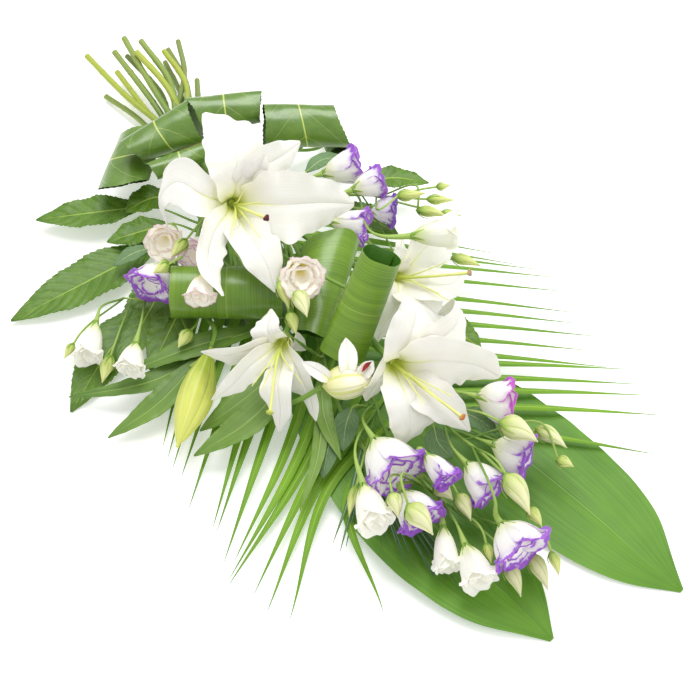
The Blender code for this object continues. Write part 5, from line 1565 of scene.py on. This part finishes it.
opening = Growth(501)
lily_bud(opening, *HALF_OPEN)
for k, (half_width, *places) in enumerate(HALF_OPEN_TEPALS, 3):
    grid = leaf_grid(spots(*places), TO_VIEWER, half_width, TEPAL, along=48, across=16, cup=(0.5, 0.2),
                     groove=0.6, ruffle=0.7, seed=k)
    opening.sheet(*grid, "lily_petal", 0.8)
opening.stem(spots(*ANTHER), 12, (0.4, 1.8, 1.9, 0.4), "anther_red", 10)
opening.piece("half_open_lily_fine", "half_open_lily")
count_faces("lily buds")

# %% [markdown]
# Behind the tie the cut stems fan out, some yellow-green and smooth, some dull with rings where leaves sat,
# each with a pale pithy end. In front of it every stalk goes on to its leaf or flower. Short stems fill
# the bundle, so that from behind it isn't a hollow ring.

# %% Cut stems and tie
# The pale end, a place on the way to the tie, radius and finish of each cut stem
CUT_STEMS = (
    ((87, 56, 25), (123, 93, 27), 3.3, "stem_yellow"),
    ((117, 72, 20), (153, 118, 24), 3.0, "stem_yellow"),
    ((114.5, 52, 30), (150, 98, 30), 3.3, "stem_green"),
    ((124, 38, 45), (141, 68, 41), 3.3, "stem_green"),
    ((127, 56, 28), (160, 92, 28), 3.0, "stem_dark"),
    ((136.5, 52, 50), (168, 88, 44), 3.4, "stem_yellow"),
    ((141, 41, 40), (168, 78, 38), 3.4, "stem_green"),
    ((164, 51, 35), (185, 82, 34), 3.2, "stem_yellow"),
    ((168, 49, 28), (184, 76, 28), 2.6, "stem_dark"),
    ((178, 41, 30), (184, 66, 30), 3.0, "stem_dark"),
    ((165, 62, 15), (180, 92, 18), 2.8, "stem_dark"),
    ((197, 80, 10), (198, 100, 15), 3.0, "stem_dark"),
    ((106, 96.5, 6), (135, 116, 12), 3.0, "stem_green"),
)
TIE_OUTSIDE = 26
TIE = above_table(200, 163, TIE_OUTSIDE * math.cos(math.pi / 12))
BUNDLE_SPREAD = 14
BUNDLE_HALF_LENGTH = 22
BUNDLE_HALF = X_AXIS * (BUNDLE_HALF_LENGTH * MM)
BUNDLE_STEMS = 13
BUNDLE_REACH = 17
BUNDLE_STEM = 4.1
BUNDLE_PINCH = ((-1.3, 0.9), (-0.5, 1), (0.5, 1), (1.3, 0.9))
BUNDLE_FINISHES = ("hidden_green", "stem_green", "stalk_green")
RING_PLACES = (0.16, 0.47, 0.75)
RING_SHIFT = 0.02
RING_WIDTH = 0.008
STALK_START = 18
LEADS = (12, 22, 34)
SHARES = (0.5, 0.7, 0.3, 0.85)
DECK_HEIGHTS = (33, 29, 40, 48, 24, 58, 68)
SIDE_SHIFTS = (0, 12, -12, 24, -24, 38, -38)
STALK_STEPS = (2, 3, 4)


def round_tie(turn, out):
    """The way from the middle of the tie, square to the bundle, at an angle and out millimetres."""
    return Vector((0, math.cos(turn), math.sin(turn))) * (out * MM)


def cut_stem(grow, k, end_place, way_place, radius, finish):
    """One cut stem from its pale end to the tie, with the rings of its nodes."""
    slot = round_tie(k * GOLDEN_ANGLE, BUNDLE_SPREAD * math.sqrt((k + 0.5) / len(CUT_STEMS)))
    path = curve_through([*spots(end_place, way_place), TIE + slot - BUNDLE_HALF * 0.8, TIE + slot * 0.7], 70)
    share = np.linspace(0, 1, 71)
    first, *others = RING_PLACES
    nodes = (first + RING_SHIFT * (k % 5), *others)
    rings = np.sum([np.exp(-(((share - at) / RING_WIDTH) ** 2)) for at in nodes], axis=0)
    grow.tube(path, radius * (1 + 0.13 * rings + 0.03 * wander(share, 5, k)), finish, 14)
    ahead = (path[0] - path[1]).normalized()
    grow.tube([path[0] - ahead * (0.3 * MM), path[0] + ahead * (0.25 * MM)], radius * 0.93, "cut_end", 16)


def stalk(tree, foot, ahead, radius):
    """The way of a stalk from the bundle to a foot."""
    end = foot - ahead * (SEAT_GAP * MM)
    start = TIE + X_AXIS * (STALK_START * MM)

    def knots_for(lead, share, height, shift):
        before = end - ahead * (lead * MM)
        way = start.lerp(before, share) + Y_AXIS * (shift * MM)
        way.z = height * MM
        return [start, way, before, end]

    for steps in STALK_STEPS:
        tries = itertools.product(LEADS, SHARES, DECK_HEIGHTS, SIDE_SHIFTS)
        faults, path = way_through(tree, knots_for, tries, radius, steps)
        if not faults:
            break
    return path


def stem_bunch():
    """The cut stems, the bundle inside the tie and the stalks to the feet of the pieces."""
    grow = Growth(520)
    for k, parts in enumerate(CUT_STEMS):
        cut_stem(grow, k, *parts)
    core = between(TIE - BUNDLE_HALF, TIE + BUNDLE_HALF, (0, 0.05, 0.5, 0.95, 1))
    grow.tube(core, (13, 14, 14, 14, 13), "hidden_green", 26)
    for k in range(BUNDLE_STEMS):
        out = round_tie(math.tau * k / BUNDLE_STEMS, BUNDLE_REACH)
        knots = [TIE + BUNDLE_HALF * at + out * pinch for at, pinch in BUNDLE_PINCH]
        grow.stem(knots, 24, (BUNDLE_STEM, BUNDLE_STEM), BUNDLE_FINISHES[k % 3], 12)
    tree = solids_so_far()
    for foot, ahead, radius in seats:
        grow.stem(stalk(tree, foot, ahead, radius), 30, (radius, radius), "hidden_green", 8)
    grow.piece("stem_bunch_fine", "stem_bunch")


for throat_place, lean, *_ in LILIES.values():
    axis = leaning(*lean)
    seat(above_table(*throat_place) - axis * (LILY_TUBE * MM), axis, 3.2)
stem_bunch()
count_faces(f"{len(seats)} stalks")

# %% [markdown]
# Twine is wound round the bundle. A helix of one thin cord stands for it, because a plain ring would look
# like a pipe. Its strands run aslant, as a wave of the distance along it and round it.

# %% Twine
TWINE_TURNS = 8
TWINE_RADIUS = 1.5
TWINE_REACH = 23.3
TIE_WIDTH = 24


def twine(on):
    """Rough brown cord with slanting strands."""
    strand = wave_of(on.along_mm + on.across_mm * 0.5, 0.9)
    fibre = on.streaks(3.0, 1.2)
    brown = mixed(strand * 0.6 + fibre * 0.5, seen(128, 104, 66), seen(196, 172, 126))
    on.finish(brown, fibre * 0.1 + 0.82, strand * 0.7 + fibre * 0.5, 0.5)


finishes_from(twine, {"twine": ()})
cord = Growth(530)
coil = []
for share in np.linspace(0, 1, TWINE_TURNS * 40 + 1):
    along = X_AXIS * ((float(share) - 0.5) * (TIE_WIDTH - 2 * TWINE_RADIUS) * MM)
    coil.append(TIE + round_tie(math.tau * TWINE_TURNS * float(share), TWINE_REACH) + along)
cord.tube(coil, TWINE_RADIUS, "twine", 10)
cord.piece("binding_twine", "binding_band")
count_faces(f"{TWINE_TURNS} turns of twine")
